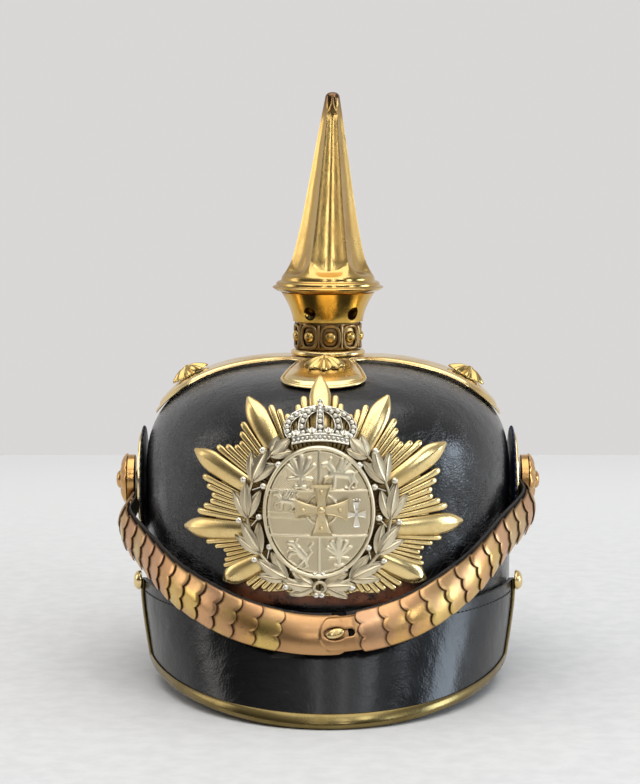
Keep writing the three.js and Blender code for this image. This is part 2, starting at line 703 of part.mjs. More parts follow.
// Scale 1 is next to the boss, and its three lobes point to the front, where the row ends.
function chinScale(side, number, rowEnd) {
  const pitch = (chinLength(side) - BOSS_CLEAR - rowEnd) / SCALE.count;
  const start = chinLength(side) - BOSS_CLEAR - (number - 1) * pitch;
  const lobes = 3;
  return slab(2 * lobes, 3, (u, v, w) => {
    const up = (2 * u - 1) * SCALE.halfWidth;
    const lobe = SCALE.lobe * abs(sin(u * lobes * PI));
    const length = pitch + SCALE.overlap - SCALE.lobe + lobe;
    const inward = v * length;
    const rise = (SCALE.raise * inward) / pitch;
    return strapPoint(side * (start - inward), up, arched(up) + rise + w * SCALE.metal);
  });
}

// The two plates that meet at the front: the left one carries a button, the right one has the slot.
const TONGUE_OUT = SCALE.metal + GAP;
const roundEnd = (u, depth) => depth * (1 - sqrt(max(0, 1 - (2 * u - 1) ** 2)));

function chinEndPlate() {
  return slab(8, 6, (u, v, w) => {
    const up = (2 * u - 1) * (SCALE.halfWidth - 0.4);
    const end = BUCKLE.plateTo - roundEnd(u, 5);
    return strapPoint(mix(BUCKLE.plateFrom, end, v), up, arched(up) + w * SCALE.metal);
  });
}

// The tongue lies on the end plate and dips under the last scale.
function chinTongue() {
  const tongue = slab(8, 8, (u, v, w) => {
    const up = (2 * u - 1) * (SCALE.halfWidth - 1.4);
    const along = mix(BUCKLE.tongueFrom + roundEnd(u, 6), BUCKLE.tongueTo, v);
    const out = TONGUE_OUT * (1 - smooth(along, BUCKLE.plateTo + 1, BUCKLE.tongueTo - 2));
    return strapPoint(along, up, arched(up) + out + w * SCALE.metal);
  });
  const slot = slab(1, 3, (u, v, w) => {
    const up = mix(-1, 1, u) * BUTTON_HOLE.halfSlot;
    return strapPoint(mix(BUCKLE.buttonX, BUCKLE.slotTo, v), up, SCALE.arch + mix(-3, 6, w));
  });
  const hole = turned([[0, -3], [1, -3], [1, 6], [0, 6]], 16, (angle, share, level) => {
    const along = BUCKLE.buttonX + share * BUTTON_HOLE.halfLong * sin(angle);
    return strapPoint(along, share * BUTTON_HOLE.halfHigh * cos(angle), SCALE.arch + level);
  });
  return geometryOf(solid(tongue).subtract(solid(slot)).subtract(solid(hole)));
}

function chinButton() {
  const foot = SCALE.metal + GAP;
  const head = foot + SCALE.metal;
  const profile = [[0, foot], [1.3, foot], [1.3, head], [2.4, head], [2.2, head + 1], [1.2, head + 1.6], [0, head + 1.7]];
  const stretch = 1.75;
  return turned(profile, 16, (angle, r, level) => {
    const along = BUCKLE.buttonX + r * stretch * sin(angle);
    return strapPoint(along, r * cos(angle), SCALE.arch + level);
  });
}

// Assembly
add("shell", shell(), lacquer);
add("front_peak", frontPeak(), lacquer);
add("front_peak_trim", peakTrim(), brass);
add("neck_guard", neckGuard(), lacquer);
add("rear_spine", rearSpine(), brass);
add("cross_base", crossBase(), brass);
add("base_collar", collar(), brass);
add("pearl_ring", pearlRing(), darkBrass);
add("spike_neck", spikeNeck(), brass);
add("spike", spike(), brass);
add("star_plate", starPlate(), brass);
add("shield", shield(), silver);
add("laurel_wreath", laurelWreath(), silver);
add("crown", badgeCrown(), silver);
add("shield_cross", shieldCross(), silver);

const STARS = [
  { name: "front", heading: 0, at: BASE_STAR.frontAt },
  { name: "right", heading: 90, at: BASE_STAR.sideAt },
  { name: "rear", heading: 180, at: BASE_STAR.frontAt },
  { name: "left", heading: 270, at: BASE_STAR.sideAt },
];
for (const { name, heading, at } of STARS) {
  add("base_star_" + name, baseStar(rad(heading + BASE.turnDeg), at), brass);
}

const SIDES = [
  { name: "left", side: -1, colour: blackDisc, strapEnd: -2, rowEnd: 25 },
  { name: "right", side: 1, colour: blueDisc, strapEnd: 10, rowEnd: 17 },
];
for (const { name, side, colour, strapEnd, rowEnd } of SIDES) {
  add("peak_stud_" + name, peakStud(side), brass);
  add("cockade_" + name, cockade(side), colour);
  add("rosette_" + name, rosette(side), brass);
  add("strap_" + name, strap(side, strapEnd), strapLeather);
  for (let number = 1; number <= SCALE.count; number++) {
    const label = String(number).padStart(2, "0");
    add("chin_scale_" + name + "_" + label, chinScale(side, number, rowEnd), copperBrass);
  }
}
add("chin_end_plate", chinEndPlate(), copperBrass);
add("chin_tongue", chinTongue(), copperBrass);
add("chin_button", chinButton(), brass);

export default helmet;
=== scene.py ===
from bisect import bisect_left, bisect_right
from itertools import accumulate
from math import atan2, copysign, cos, hypot, pi, radians, sin, sqrt

import bmesh
import bpy
from mathutils import Matrix, Vector, noise


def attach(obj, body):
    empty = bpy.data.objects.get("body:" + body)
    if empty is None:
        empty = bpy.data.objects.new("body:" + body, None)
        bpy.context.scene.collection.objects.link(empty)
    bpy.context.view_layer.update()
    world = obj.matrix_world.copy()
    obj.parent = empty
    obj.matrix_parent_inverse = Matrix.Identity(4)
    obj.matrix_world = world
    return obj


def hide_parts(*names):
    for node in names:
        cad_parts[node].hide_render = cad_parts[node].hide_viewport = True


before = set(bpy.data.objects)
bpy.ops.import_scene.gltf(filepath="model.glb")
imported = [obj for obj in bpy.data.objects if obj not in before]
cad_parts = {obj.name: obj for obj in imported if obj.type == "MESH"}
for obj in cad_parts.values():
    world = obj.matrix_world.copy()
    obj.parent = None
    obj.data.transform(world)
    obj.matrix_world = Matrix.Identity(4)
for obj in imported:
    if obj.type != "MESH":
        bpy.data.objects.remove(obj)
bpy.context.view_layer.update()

# Sizes shared with the solids
GAP = 0.35
HALF_WIDTH = 94.3
HALF_LENGTH = 113.0
RIM_Z = 44.5
SHOULDER_Z = 97.0
RISE = 62.3
WALL = 2.5
DOME_SHARE = 0.8
SKIRT_ANGLE = radians(76)
SKIRT_WIDE = 92
SKIRT_TOP_Z = 50
SKIRT_BEND_Z = 41
PEAK_REACH = 143
GUARD_REACH = 144.49
SPINE_START_Y = 88.5
SPINE_HALF = 4.5
PLATE_OFF = 1.7
PLATE_LEAN = 24
PLATE_LEAN_Z = 97
PLATE_LEAN_HEIGHT = 65
BASE_LIFT = 1.0
BASE_TURN = -2.0
COLLAR_Z = SHOULDER_Z + RISE + BASE_LIFT + 1.6 + GAP
PEARL_Z = COLLAR_Z + 2.8 + GAP
NECK_Z = PEARL_Z + 13.7 + GAP
NECK_HEIGHT = 14.7
SPIKE_LEAN = 0.024
COCKADE_X = HALF_WIDTH + GAP
ROSETTE_X = COCKADE_X + 2.6 + GAP + 1.8 + GAP
SIDE_Y = -2.0
SIDE_Z = 97.0
FORWARD = Vector((0, -1, 0))


# Small sums
def mix(a, b, share):
    return a + (b - a) * share


def ease(value, low, high):
    t = min(max((value - low) / (high - low), 0.0), 1.0)
    return t * t * (3 - 2 * t)


def bump_line(distance, half):
    """A round ridge over a line."""
    return sqrt(1 - (distance / half) ** 2) if abs(distance) < half else 0.0


def along_rows(rows, at):
    """Reads a smooth value at a place from rows of (place, value)."""
    for i in range(len(rows) - 1):
        if at <= rows[i + 1][0] or i == len(rows) - 2:
            before = rows[max(i - 1, 0)]
            a, b = rows[i], rows[i + 1]
            after = rows[min(i + 2, len(rows) - 1)]
            span = b[0] - a[0]
            t = (at - a[0]) / span
            slope_a = (b[1] - before[1]) / (b[0] - before[0]) * span
            slope_b = (after[1] - a[1]) / (after[0] - a[0]) * span
            rise = b[1] - a[1]
            bend = 3 * rise - 2 * slope_a - slope_b + t * (slope_a + slope_b - 2 * rise)
            return a[1] + t * (slope_a + t * bend)


def walked(points):
    """How far along a line each of its points lies."""
    return list(accumulate(((b - a).length for a, b in zip(points, points[1:])), initial=0.0))


def both_ways(shares, back, front):
    """Rows out along the back of a disc and in again along its front."""
    return [(share, back) for share in shares] + [(share, front) for share in reversed(shares)]


def around(angle, r, z):
    """A point round the middle axis, its angle measured from the front."""
    return Vector((r * sin(angle), -r * cos(angle), z))


def above_floor(at):
    return Vector((at.x, at.y, max(at.z, 0.0)))


# Mesh helpers
def close(bm):
    """Merges seams and poles, fills open ends and points the faces outwards."""
    bmesh.ops.remove_doubles(bm, verts=bm.verts, dist=2e-4)
    open_edges = [edge for edge in bm.edges if edge.is_boundary]
    if open_edges:
        bmesh.ops.holes_fill(bm, edges=open_edges)
    bmesh.ops.recalc_face_normals(bm, faces=bm.faces)
    return bm


def grid(across, along, place):
    """A sheet of cells put in place by place(u, v), both from 0 to 1."""
    bm = bmesh.new()
    bmesh.ops.create_grid(bm, x_segments=across, y_segments=along, size=0.5)
    for vert in bm.verts:
        vert.co = place(vert.co.x + 0.5, vert.co.y + 0.5)
    return bm


def raised_copy(bm):
    """Gives a sheet a thickness and returns the corners of its second face."""
    raised = bmesh.ops.extrude_face_region(bm, geom=bm.faces[:])["geom"]
    return [item for item in raised if isinstance(item, bmesh.types.BMVert)]


def slab(across, along, place):
    """A thick sheet: place(s, v, w), s -1 to 1 across, v 0 to 1 along, w 0 behind and 1 in front."""
    bm = bmesh.new()
    bmesh.ops.create_grid(bm, x_segments=across, y_segments=along, size=0.5)
    on_sheet = bm.verts.layers.float_vector.new("on_sheet")
    for vert in bm.verts:
        vert[on_sheet] = vert.co + Vector((0.5, 0.5, 0))
    for vert in raised_copy(bm):
        vert[on_sheet] = (vert[on_sheet].x, vert[on_sheet].y, 1)
    for vert in bm.verts:
        u, v, w = vert[on_sheet]
        vert.co = place(2 * u - 1, v, w)
    return close(bm)


def turned(segments, rows, place):
    """A shape round an axis: place(angle, row) for each row of its outline."""
    last = len(rows) - 1
    return close(grid(segments, last, lambda u, v: place(2 * pi * u, rows[round(v * last)])))


def spun(profile, segments, base=0.0, ring=False):
    """A shape turned about Z from (radius, height) points over a base."""
    bm = bmesh.new()
    points = [bm.verts.new((r, 0, base + z)) for r, z in profile]
    pairs = list(zip(points, points[1:]))
    if ring:
        pairs.append((points[-1], points[0]))
    outline = points + [bm.edges.new(pair) for pair in pairs]
    bmesh.ops.spin(bm, geom=outline, axis=(0, 0, 1), angle=2 * pi, steps=segments, use_merge=True)
    return close(bm)


def rod(path, radius, sides, steps, toward=FORWARD, closed=False):
    """A round bar along path(t), radius(t) thick, t from 0 to 1; a closed one is a hoop."""

    def on_path(t):
        return path(t % 1 if closed else min(max(t, 0), 1))

    def place(u, v):
        ahead = on_path(v + 0.004) - on_path(v - 0.004)
        side = ahead.cross(toward).normalized()
        out = side.cross(ahead).normalized()
        return on_path(v) + (side * cos(2 * pi * u) + out * sin(2 * pi * u)) * radius(v)

    return close(grid(sides, steps, place))


def ball(at, radius, segments, rings):
    bm = bmesh.new()
    bmesh.ops.create_uvsphere(bm, u_segments=segments, v_segments=rings, radius=radius)
    bmesh.ops.translate(bm, vec=at, verts=bm.verts)
    return bm


def joined(*parts):
    """One bmesh from several, which are used up."""
    whole = parts[0]
    for part in parts[1:]:
        carrier = bpy.data.meshes.new("carrier")
        part.to_mesh(carrier)
        part.free()
        whole.from_mesh(carrier)
        bpy.data.meshes.remove(carrier)
    return whole


def standing(bm, at, outward, spin=0.0):
    """Turns a shape made on Z so that it stands at a point along an outward direction."""
    turn = Vector((0, 0, 1)).rotation_difference(outward).to_matrix().to_4x4()
    place = Matrix.Translation(at) @ turn @ Matrix.Rotation(spin, 4, "Z")
    bmesh.ops.transform(bm, matrix=place, verts=bm.verts)
    return bm


def show(name, data):
    """Puts an object into the scene."""
    shown = bpy.data.objects.new(name, data)
    bpy.context.scene.collection.objects.link(shown)
    return shown


def meshed(name, bm, finish):
    """An object from a bmesh, which is used up."""
    mesh = bpy.data.meshes.new(name)
    bm.to_mesh(mesh)
    bm.free()
    mesh.materials.append(finish.owner)
    return show(name, mesh)


def make(name, bm, finish, extra=False, crease=38, bevel=0.0):
    """A piece from a bmesh in millimetres. It stands for the CAD node of its name, unless it is an extra."""
    bmesh.ops.scale(bm, vec=(0.001, 0.001, 0.001), verts=bm.verts)
    piece = meshed(name, bm, finish)
    piece.data.shade_smooth()
    piece.data.set_sharp_from_angle(angle=radians(crease))
    if bevel:
        edge = piece.modifiers.new("worn_edge", "BEVEL")
        edge.width = bevel / 1000
        edge.segments = 2
        edge.limit_method = "ANGLE"
        edge.angle_limit = radians(50)
    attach(piece, "root")
    if not extra:
        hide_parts(name)


# Shader sums
def sums(operation, swapped=False):
    """A method that puts a socket into a sum with a socket or a number."""

    def method(self, other):
        first, second = (other, self) if swapped else (self, other)
        return self.finish.node("Math", {"operation": operation}, {0: first, 1: second})

    return method


class Value:
    """A shader socket that takes part in sums."""

    __add__ = sums("ADD")
    __sub__ = sums("SUBTRACT")
    __rsub__ = sums("SUBTRACT", swapped=True)
    __mul__ = sums("MULTIPLY")
    most = sums("MAXIMUM")

    def __init__(self, finish, socket):
        self.finish = finish
        self.socket = socket


class Finish:
    """The node tree of a material or a world; it also keeps a slot name, which is not used."""

    def __init__(self, owner, slot, shader="Principled BSDF"):
        owner.use_nodes = True
        self.owner = owner
        self.slot = slot
        self.tree = owner.node_tree
        self.shader = self.tree.nodes[shader]

    def feed(self, socket, value):
        if isinstance(value, Value):
            self.tree.links.new(value.socket, socket)
        elif isinstance(value, tuple) and socket.type == "RGBA":
            socket.default_value = (*value, 1)
        else:
            socket.default_value = value

    def node(self, kind, settings, sockets, output=0):
        made = self.tree.nodes.new("ShaderNode" + kind)
        for key, value in settings.items():
            setattr(made, key, value)
        for key, value in sockets.items():
            self.feed(made.inputs[key], value)
        return Value(self, made.outputs[output])

    def place(self):
        return self.node("TexCoord", {}, {}, output=3)

    def attribute(self, name, output):
        return self.node("Attribute", {"attribute_name": name}, {}, output)

    def parts(self, vector):
        split = self.node("SeparateXYZ", {}, {0: vector})
        return [Value(self, output) for output in split.socket.node.outputs]

    def on_sheet(self):
        """How far a point lies across and along a slab, from 0 to 1."""
        return self.parts(self.attribute("on_sheet", 1))[:2]

    def stretched(self, scale, turn=(0.0, 0.0, 0.0)):
        return self.node("Mapping", {}, {0: self.place(), 2: turn, 3: scale})

    def noise(self, scale, detail=3.0, roughness=0.55, vector=None):
        sockets = {"Vector": vector or self.place(), "Scale": scale}
        return self.node("TexNoise", {}, {**sockets, "Detail": detail, "Roughness": roughness})

    def cells(self, scale, feature="DISTANCE_TO_EDGE", vector=None):
        sockets = {"Vector": vector or self.place(), "Scale": scale}
        return self.node("TexVoronoi", {"feature": feature}, sockets)

    def rise(self, value, low, high, start=0.0, end=1.0):
        settings = {"interpolation_type": "SMOOTHSTEP"}
        return self.node("MapRange", settings, {0: value, 1: low, 2: high, 3: start, 4: end})

    def blend(self, share, first, second):
        return self.node("Mix", {"data_type": "RGBA"}, {0: share, 6: first, 7: second}, output=2)

    def hollow(self, distance, alone):
        """1 in the open and 0 deep in a recess, of the piece alone or of all that is near."""
        settings = {"samples": 8, "only_local": alone}
        return self.node("AmbientOcclusion", settings, {"Distance": distance}, output=1)

    def bump(self, height, strength, distance):
        sockets = {"Height": height, "Strength": strength, "Distance": distance}
        return self.node("Bump", {}, sockets)

    def shade(self, **sockets):
        for key, value in sockets.items():
            self.feed(self.shader.inputs[key.replace("_", " ")], value)
        return self


# Finishes
def new_finish(name, slot):
    return Finish(bpy.data.materials.new(name), slot)


def black_lacquer(name, shell=False):
    """Black lacquer on pebbled leather; the shell's is also cracked, and low at the front it has a brown
    band that is a painted reflection of the copper chin scales.
    """
    f = new_finish(name, "lacquer")
    clouds = f.noise(14, 4)
    scratch = f.rise(f.noise(120, 2, vector=f.stretched((0.06, 0.4, 1.0), (0.3, 0.5, 0.7))), 0.69, 0.72)
    scratch = scratch * f.rise(f.noise(35, 2), 0.52, 0.62)
    dust = f.rise(f.noise(900, 2), 0.6, 0.8) * f.rise(clouds, 0.4, 0.7)
    colour = f.blend(f.rise(clouds, 0.3, 0.75), (0.003, 0.003, 0.0035), (0.0075, 0.0072, 0.0075))
    colour = f.blend((scratch * 0.4).most(dust * 0.06), colour, (0.09, 0.085, 0.08))
    rough = f.rise(clouds, 0.3, 0.75, 0.2, 0.32) + scratch * 0.15
    pebbles = f.cells(800, "SMOOTH_F1") * 0.2 + f.noise(1100, 2) * 0.12
    height = f.noise(60, 2) * 0.9 + pebbles * (1.0 if shell else 0.45) - scratch * 0.08
    if shell:
        wander = f.node("TexNoise", {}, {"Vector": f.place(), "Scale": 60.0}, output=1)
        sockets = {0: wander, 1: (0.02,) * 3, 2: f.stretched((1.0, 1.0, 1.9))}
        warped = f.node("VectorMath", {"operation": "MULTIPLY_ADD"}, sockets)
        cracks = 1 - f.rise(f.cells(110, vector=warped), 0.0, 0.02)
        cracks = cracks * f.rise(f.noise(26, 3), 0.5, 0.62)
        crumpled = f.rise(f.noise(22, 2), 0.5, 0.62)
        creases = (1 - f.rise(f.cells(420, vector=warped), 0.0, 0.12)) * crumpled
        colour = f.blend(cracks * 0.3, colour, (0.03, 0.026, 0.023))
        rough = rough + cracks * 0.2
        height = height - cracks * 0.3 - creases * 0.35 + f.noise(260, 3) * crumpled * 0.5
        # Painted reflection: a brown band low on the shell's front stands in for the copper chin scales
        # reflected in the lacquer.
        across, deep, high = f.parts(f.place())
        front = f.rise(deep, -0.095, -0.105)
        level = f.rise(high, 0.0515, 0.0545) * f.rise(high, 0.0665, 0.0595)
        middle = f.rise(across, -0.068, -0.05) * f.rise(across, 0.06, 0.044)
        patch = front * level * middle * f.rise(f.noise(85, 5, 0.7), 0.36, 0.52)
        brown = f.blend(f.noise(160, 4), (0.17, 0.052, 0.022), (0.42, 0.15, 0.062))
        colour = f.blend(patch, colour, brown)
        rough = rough + patch * 0.15
    normal = f.bump(height, 0.6, 0.0012)
    f.shade(Base_Color=colour, Roughness=rough, Normal=normal, Coat_Roughness=0.15)
    return f.shade(Coat_Weight=0.16 if shell else 0.1, Specular_IOR_Level=0.4 if shell else 0.3)


def old_leather(name):
    f = new_finish(name, "strap_leather")
    clouds = f.noise(60, 4)
    colour = f.blend(f.rise(clouds, 0.3, 0.7), (0.014, 0.011, 0.009), (0.05, 0.04, 0.032))
    scuff = f.rise(f.noise(240, 4, 0.7), 0.58, 0.74)
    colour = f.blend(scuff * 0.5, colour, (0.11, 0.1, 0.09))
    rough = f.rise(clouds, 0.3, 0.7, 0.5, 0.78)
    height = f.rise(f.cells(500), 0.0, 0.2) * 0.5 + f.noise(900, 3) * 0.5
    return f.shade(Base_Color=colour, Roughness=rough, Normal=f.bump(height, 0.7, 0.0004))


def thread(name):
    f = new_finish(name, "strap_leather")
    twist = f.noise(1400, 2)
    colour = f.blend(twist, (0.004, 0.004, 0.0045), (0.02, 0.019, 0.018))
    return f.shade(Base_Color=colour, Roughness=0.6, Normal=f.bump(twist, 0.5, 0.0002))


def metal(
    name, slot, bright, tarnish, dark, recess=0.004, polish=(0.16, 0.34), shade_and_grime_strength=0.8,
    tip=False, field=None, alone=True, shadow_disc=None
):
    """Handled metal: bright on the open parts, tarnished in clouds, and darkened in its recesses partly as
    tarnish and partly as painted shade.

    A tip is burnt brown at the top, a field lies hatched between raised parts, and the last argument
    gives the middle and the reach of a painted shadow cast by what covers the metal.
    """
    f = new_finish(name, slot)
    clouds = f.noise(38, 5, 0.62)
    spots = f.rise(f.noise(420, 3, 0.6), 0.64, 0.76)
    colour = f.blend(f.rise(clouds, 0.42, 0.72), bright, tarnish)
    colour = f.blend(spots * 0.3, colour, dark)
    hairlines = f.noise(300, 2, vector=f.stretched((1.0, 1.0, 0.12)))
    height = f.noise(110, 2) * 0.5 + f.noise(700, 3) * 0.12 + hairlines * 0.08
    if field:
        across, along = f.on_sheet()
        hatch = f.node("Math", {"operation": "SINE"}, {0: across * 300 + along * 350})
        raised = f.rise(f.attribute("relief", 2), 0.08, 0.55)
        colour = f.blend(raised, field, colour)
        height = height + (hatch + f.noise(1500, 2)) * (1 - raised) * 1.1
    # Painted shade and tarnish: ambient occlusion darkens the recesses, and unless alone also the places
    # beside nearby pieces.
    shade_and_grime = f.rise(f.hollow(recess, alone), 0.78, 0.35) * shade_and_grime_strength
    colour = f.blend(shade_and_grime, colour, dark)
    # Painted shadow: the metal is darkened within the reach of what covers it, as the shade the badge casts
    # on the plate.
    if shadow_disc:
        middle_x, middle_z, reach = shadow_disc
        across, _, high = f.parts(f.place())
        off_x, off_z = across - middle_x, high - middle_z
        in_shadow = f.rise(off_x * off_x + off_z * off_z, reach**2, (0.86 * reach) ** 2)
        colour = f.blend(in_shadow * 0.85, colour, dark)
    rough = f.rise(clouds, 0.35, 0.75, *polish) + spots * 0.1 + shade_and_grime * 0.3
    if tip:
        high = f.parts(f.place())[2]
        burnt = f.rise(high + f.noise(45, 2) * 0.01, 0.284, 0.301)
        colour = f.blend(burnt * 0.85, colour, (0.10, 0.045, 0.035))
    return f.shade(Base_Color=colour, Roughness=rough, Metallic=1.0, Normal=f.bump(height, 0.22, 0.0006))


def scale_metal(name, bright, tone_and_reflection):
    """A chin scale's tint, with a painted reflection of the dark shell towards its upper side, and painted
    shade at its root, which lies beneath the next scale, and along its edges, where it also stands for
    patina.
    """
    f = new_finish(name, "scale_brass")
    across, along = f.on_sheet()
    clouds = f.noise(75, 4, 0.6)
    colour = f.blend(f.rise(clouds, 0.35, 0.7), bright, tone_and_reflection)
    # Painted reflection: the upper side takes the reflection tint, standing in for the dark shell reflected
    # in the scale.
    upper = f.rise(across + clouds * 0.1, 0.67, 0.8)
    colour = f.blend(upper * 0.75, colour, tone_and_reflection)
    # Painted shade at the root beneath the overlapping scale and along the edges, where it is partly patina;
    # the specks are spots of tarnish.
    root = f.rise(along, 0.36, 0.1)
    edge = f.rise(along, 0.955, 0.995).most(f.rise(across, 0.035, 0.0)).most(f.rise(across, 0.965, 1.0))
    specks = f.rise(f.noise(520, 3), 0.66, 0.76)
    shadow = (root * 0.7).most(edge * 0.75).most(specks * 0.35)
    colour = f.blend(shadow, colour, (0.07, 0.04, 0.022))
    height = f.noise(130, 2) * 0.6 + f.noise(800, 3) * 0.12
    rough = f.rise(clouds, 0.3, 0.7, 0.26, 0.42) + shadow * 0.25
    return f.shade(Base_Color=colour, Roughness=rough, Metallic=1.0, Normal=f.bump(height, 0.25, 0.0006))


def painted_disc(name, tint, patch):
    f = new_finish(name, name)
    clouds = f.noise(90, 4)
    colour = f.blend(f.rise(clouds, 0.35, 0.7), tint, tuple(1.8 * c for c in tint))
    chips = f.rise(f.noise(380, 4, 0.65), 0.64, 0.7)
    colour = f.blend(chips * 0.7, colour, patch)
    rough = f.rise(clouds, 0.3, 0.7, 0.32, 0.5)
    return f.shade(Base_Color=colour, Roughness=rough, Normal=f.bump(clouds, 0.3, 0.0005))


def table_white(name):
    f = new_finish(name, None)
    deep = f.parts(f.place())[1]
    colour = f.blend(f.rise(f.noise(90, 4), 0.3, 0.7), (0.70, 0.70, 0.70), (0.76, 0.76, 0.755))
    # Painted light: the table is lighter towards the back.
    colour = f.blend(f.rise(deep, 0.1, 0.7), colour, (0.88, 0.88, 0.88))
    return f.shade(Base_Color=colour, Roughness=0.6, Normal=f.bump(f.noise(700, 3), 0.1, 0.0005))


SHIELD_X = -4.6
SHIELD_Z = 98.3
LACQUER = black_lacquer("black_lacquer")
SHELL_LACQUER = black_lacquer("shell_lacquer", shell=True)
STRAP_LEATHER = old_leather("strap_leather")
THREAD = thread("waxed_thread")
BRASS = metal("polished_brass", "brass", (0.87, 0.67, 0.33), (0.73, 0.51, 0.21), (0.10, 0.055, 0.018))
# The plate takes painted shade from the badge and wreath above it, and a painted shadow round the shield.
PLATE_BRASS = metal(
    "plate_brass", "brass", (0.88, 0.67, 0.31), (0.74, 0.52, 0.2), (0.06, 0.032, 0.012),
    0.0045, (0.22, 0.36), 0.9, alone=False, shadow_disc=(SHIELD_X / 1000, SHIELD_Z / 1000, 0.0345)
)
# Painted reflection: the trim's brass is set far darker than the other brass, standing in for the dark room
# in front that it reflects.
SHADED_TRIM_BRASS = metal(
    "shaded_trim_brass", "brass", (0.24, 0.18, 0.071), (0.18, 0.13, 0.046), (0.08, 0.045, 0.016),
    polish=(0.22, 0.36)
)
SPIKE_BRASS = metal(
    "spike_brass", "brass", (0.61, 0.41, 0.14), (0.48, 0.295, 0.09), (0.12, 0.06, 0.02), tip=True
)
NECK_BRASS = metal(
    "neck_brass", "brass", (0.66, 0.40, 0.08), (0.5, 0.28, 0.05), (0.008, 0.005, 0.003), 0.03, shade_and_grime_strength=1.0
)
DARK_BRASS = metal(
    "patinated_brass", "dark_brass", (0.34, 0.22, 0.09), (0.2, 0.12, 0.05), (0.014, 0.008, 0.005),
    polish=(0.26, 0.42), shade_and_grime_strength=1.0
)
PEARL_BRASS = metal(
    "pearl_brass", "dark_brass", (0.62, 0.42, 0.13), (0.42, 0.26, 0.08), (0.1, 0.055, 0.02),
    polish=(0.2, 0.36)
)
STAR_BRASS = metal(
    "star_brass", "brass", (0.62, 0.44, 0.16), (0.46, 0.3, 0.1), (0.08, 0.045, 0.016), shade_and_grime_strength=0.9
)
BOSS_BRASS = metal("boss_brass", "brass", (0.68, 0.40, 0.14), (0.52, 0.28, 0.1), (0.10, 0.05, 0.02))
SILVER = metal(
    "worn_silver", "silver", (0.76, 0.66, 0.46), (0.6, 0.51, 0.35), (0.05, 0.036, 0.02),
    0.0025, (0.3, 0.44), 0.95
)
SHIELD_SILVER = metal(
    "shield_silver", "silver", (0.94, 0.84, 0.61), (0.82, 0.7, 0.49), (0.08, 0.06, 0.035),
    0.0025, (0.3, 0.42), 0.85, field=(0.74, 0.63, 0.42)
)
BRIGHT_SILVER = metal(
    "bright_silver", "silver", (0.95, 0.9, 0.78), (0.76, 0.7, 0.56), (0.08, 0.065, 0.045),
    0.0016, (0.26, 0.38), 0.85
)
GILT = metal(
    "gilt_silver", "silver", (0.8, 0.65, 0.38), (0.7, 0.56, 0.32), (0.10, 0.07, 0.035),
    0.0025, (0.3, 0.42), 0.9
)
COPPERY = metal(
    "coppery_brass", "scale_brass", (0.58, 0.33, 0.15), (0.5, 0.27, 0.12), (0.04, 0.02, 0.012),
    0.0022, (0.28, 0.42), 0.95, alone=False
)
SCALE_METALS = {
    "y": scale_metal("yellow_scale", (0.72, 0.50, 0.16), (0.60, 0.35, 0.17)),
    "o": scale_metal("orange_scale", (0.70, 0.41, 0.14), (0.58, 0.32, 0.16)),
    "r": scale_metal("rose_scale", (0.67, 0.38, 0.185), (0.57, 0.33, 0.185)),
    "t": scale_metal("tan_scale", (0.66, 0.46, 0.22), (0.57, 0.36, 0.18)),
}
BLACK_DISC = painted_disc("black_disc", (0.006, 0.006, 0.007), (0.06, 0.06, 0.06))
BLUE_DISC = painted_disc("blue_disc", (0.005, 0.008, 0.03), (0.07, 0.08, 0.12))


# Forms shared with the solids
def fullness(angle):
    forward = max(0.0, cos(angle))
    return mix(2.8, 3.4, forward * forward)


def shell_point(angle, share, out):
    """A point of the shell: the dome down to its shoulder, then the straight wall."""
    power = 2 / fullness(angle)
    down = min(share / DOME_SHARE, 1.0) * pi / 2
    wide = sin(down) ** power
    high = max(0.0, cos(down)) ** power
    below = max(0.0, share - DOME_SHARE) / (1 - DOME_SHARE)
    return Vector((
        (HALF_WIDTH + out) * wide * sin(angle),
        -(HALF_LENGTH + out) * wide * cos(angle),
        SHOULDER_Z + (RISE + out) * high - below * (SHOULDER_Z - RIM_Z),
    ))


def dome_height(x, y):
    n = fullness(atan2(x / HALF_WIDTH, -y / HALF_LENGTH))
    share = min(hypot(x / HALF_WIDTH, y / HALF_LENGTH), 1.0)
    return SHOULDER_Z + RISE * (1 - share**n) ** (1 / n)


def dome_point(x, y, out):
    step = 0.05
    slope_x = (dome_height(x + step, y) - dome_height(x - step, y)) / (2 * step)
    slope_y = (dome_height(x, y + step) - dome_height(x, y - step)) / (2 * step)
    return Vector((x, y, dome_height(x, y))) + Vector((-slope_x, -slope_y, 1)).normalized() * out


def peak_rim(u, angle, bend):
    lift = 2.4 + 7.5 * (1 - cos(angle)) / (1 - cos(SKIRT_ANGLE))
    return Vector((SKIRT_WIDE * sin(angle), -PEAK_REACH * cos(angle), lift))


def guard_rim(u, angle, bend):
    full = Vector((SKIRT_WIDE * sin(angle), -GUARD_REACH * cos(angle), -0.6))
    return bend.lerp(full, mix(1, 0.3, ease(abs(u), 0.45, 1)))


# The skirts of leather: where each one faces, and its rim
PEAK = (0.0, peak_rim)
GUARD = (pi, guard_rim)


def skirt_outer(skirt, u, v):
    facing, rim = skirt
    angle = facing + u * SKIRT_ANGLE

    def oval(grow, z):
        return Vector(((HALF_WIDTH + grow) * sin(angle), -(HALF_LENGTH + grow) * cos(angle), z))

    top = oval(GAP + WALL, SKIRT_TOP_Z)
    bend = oval(GAP + WALL + 1, SKIRT_BEND_Z)
    return top * (1 - v) ** 2 + bend * (2 * v * (1 - v)) + rim(u, angle, bend) * v * v


def skirt_point(skirt, u, v, depth):
    """A point of a skirt: u -1 to 1 round the shell, v 0 to 1 down, depth below its outer face."""
    at = skirt_outer(skirt, u, v)
    beside = skirt_outer(skirt, u + 0.002, v) - at
    below = skirt_outer(skirt, u, v + 0.002) - at
    normal = beside.cross(below).normalized()
    if normal.x * at.x + normal.y * at.y < 0:
        normal.negate()
    return at - normal * depth


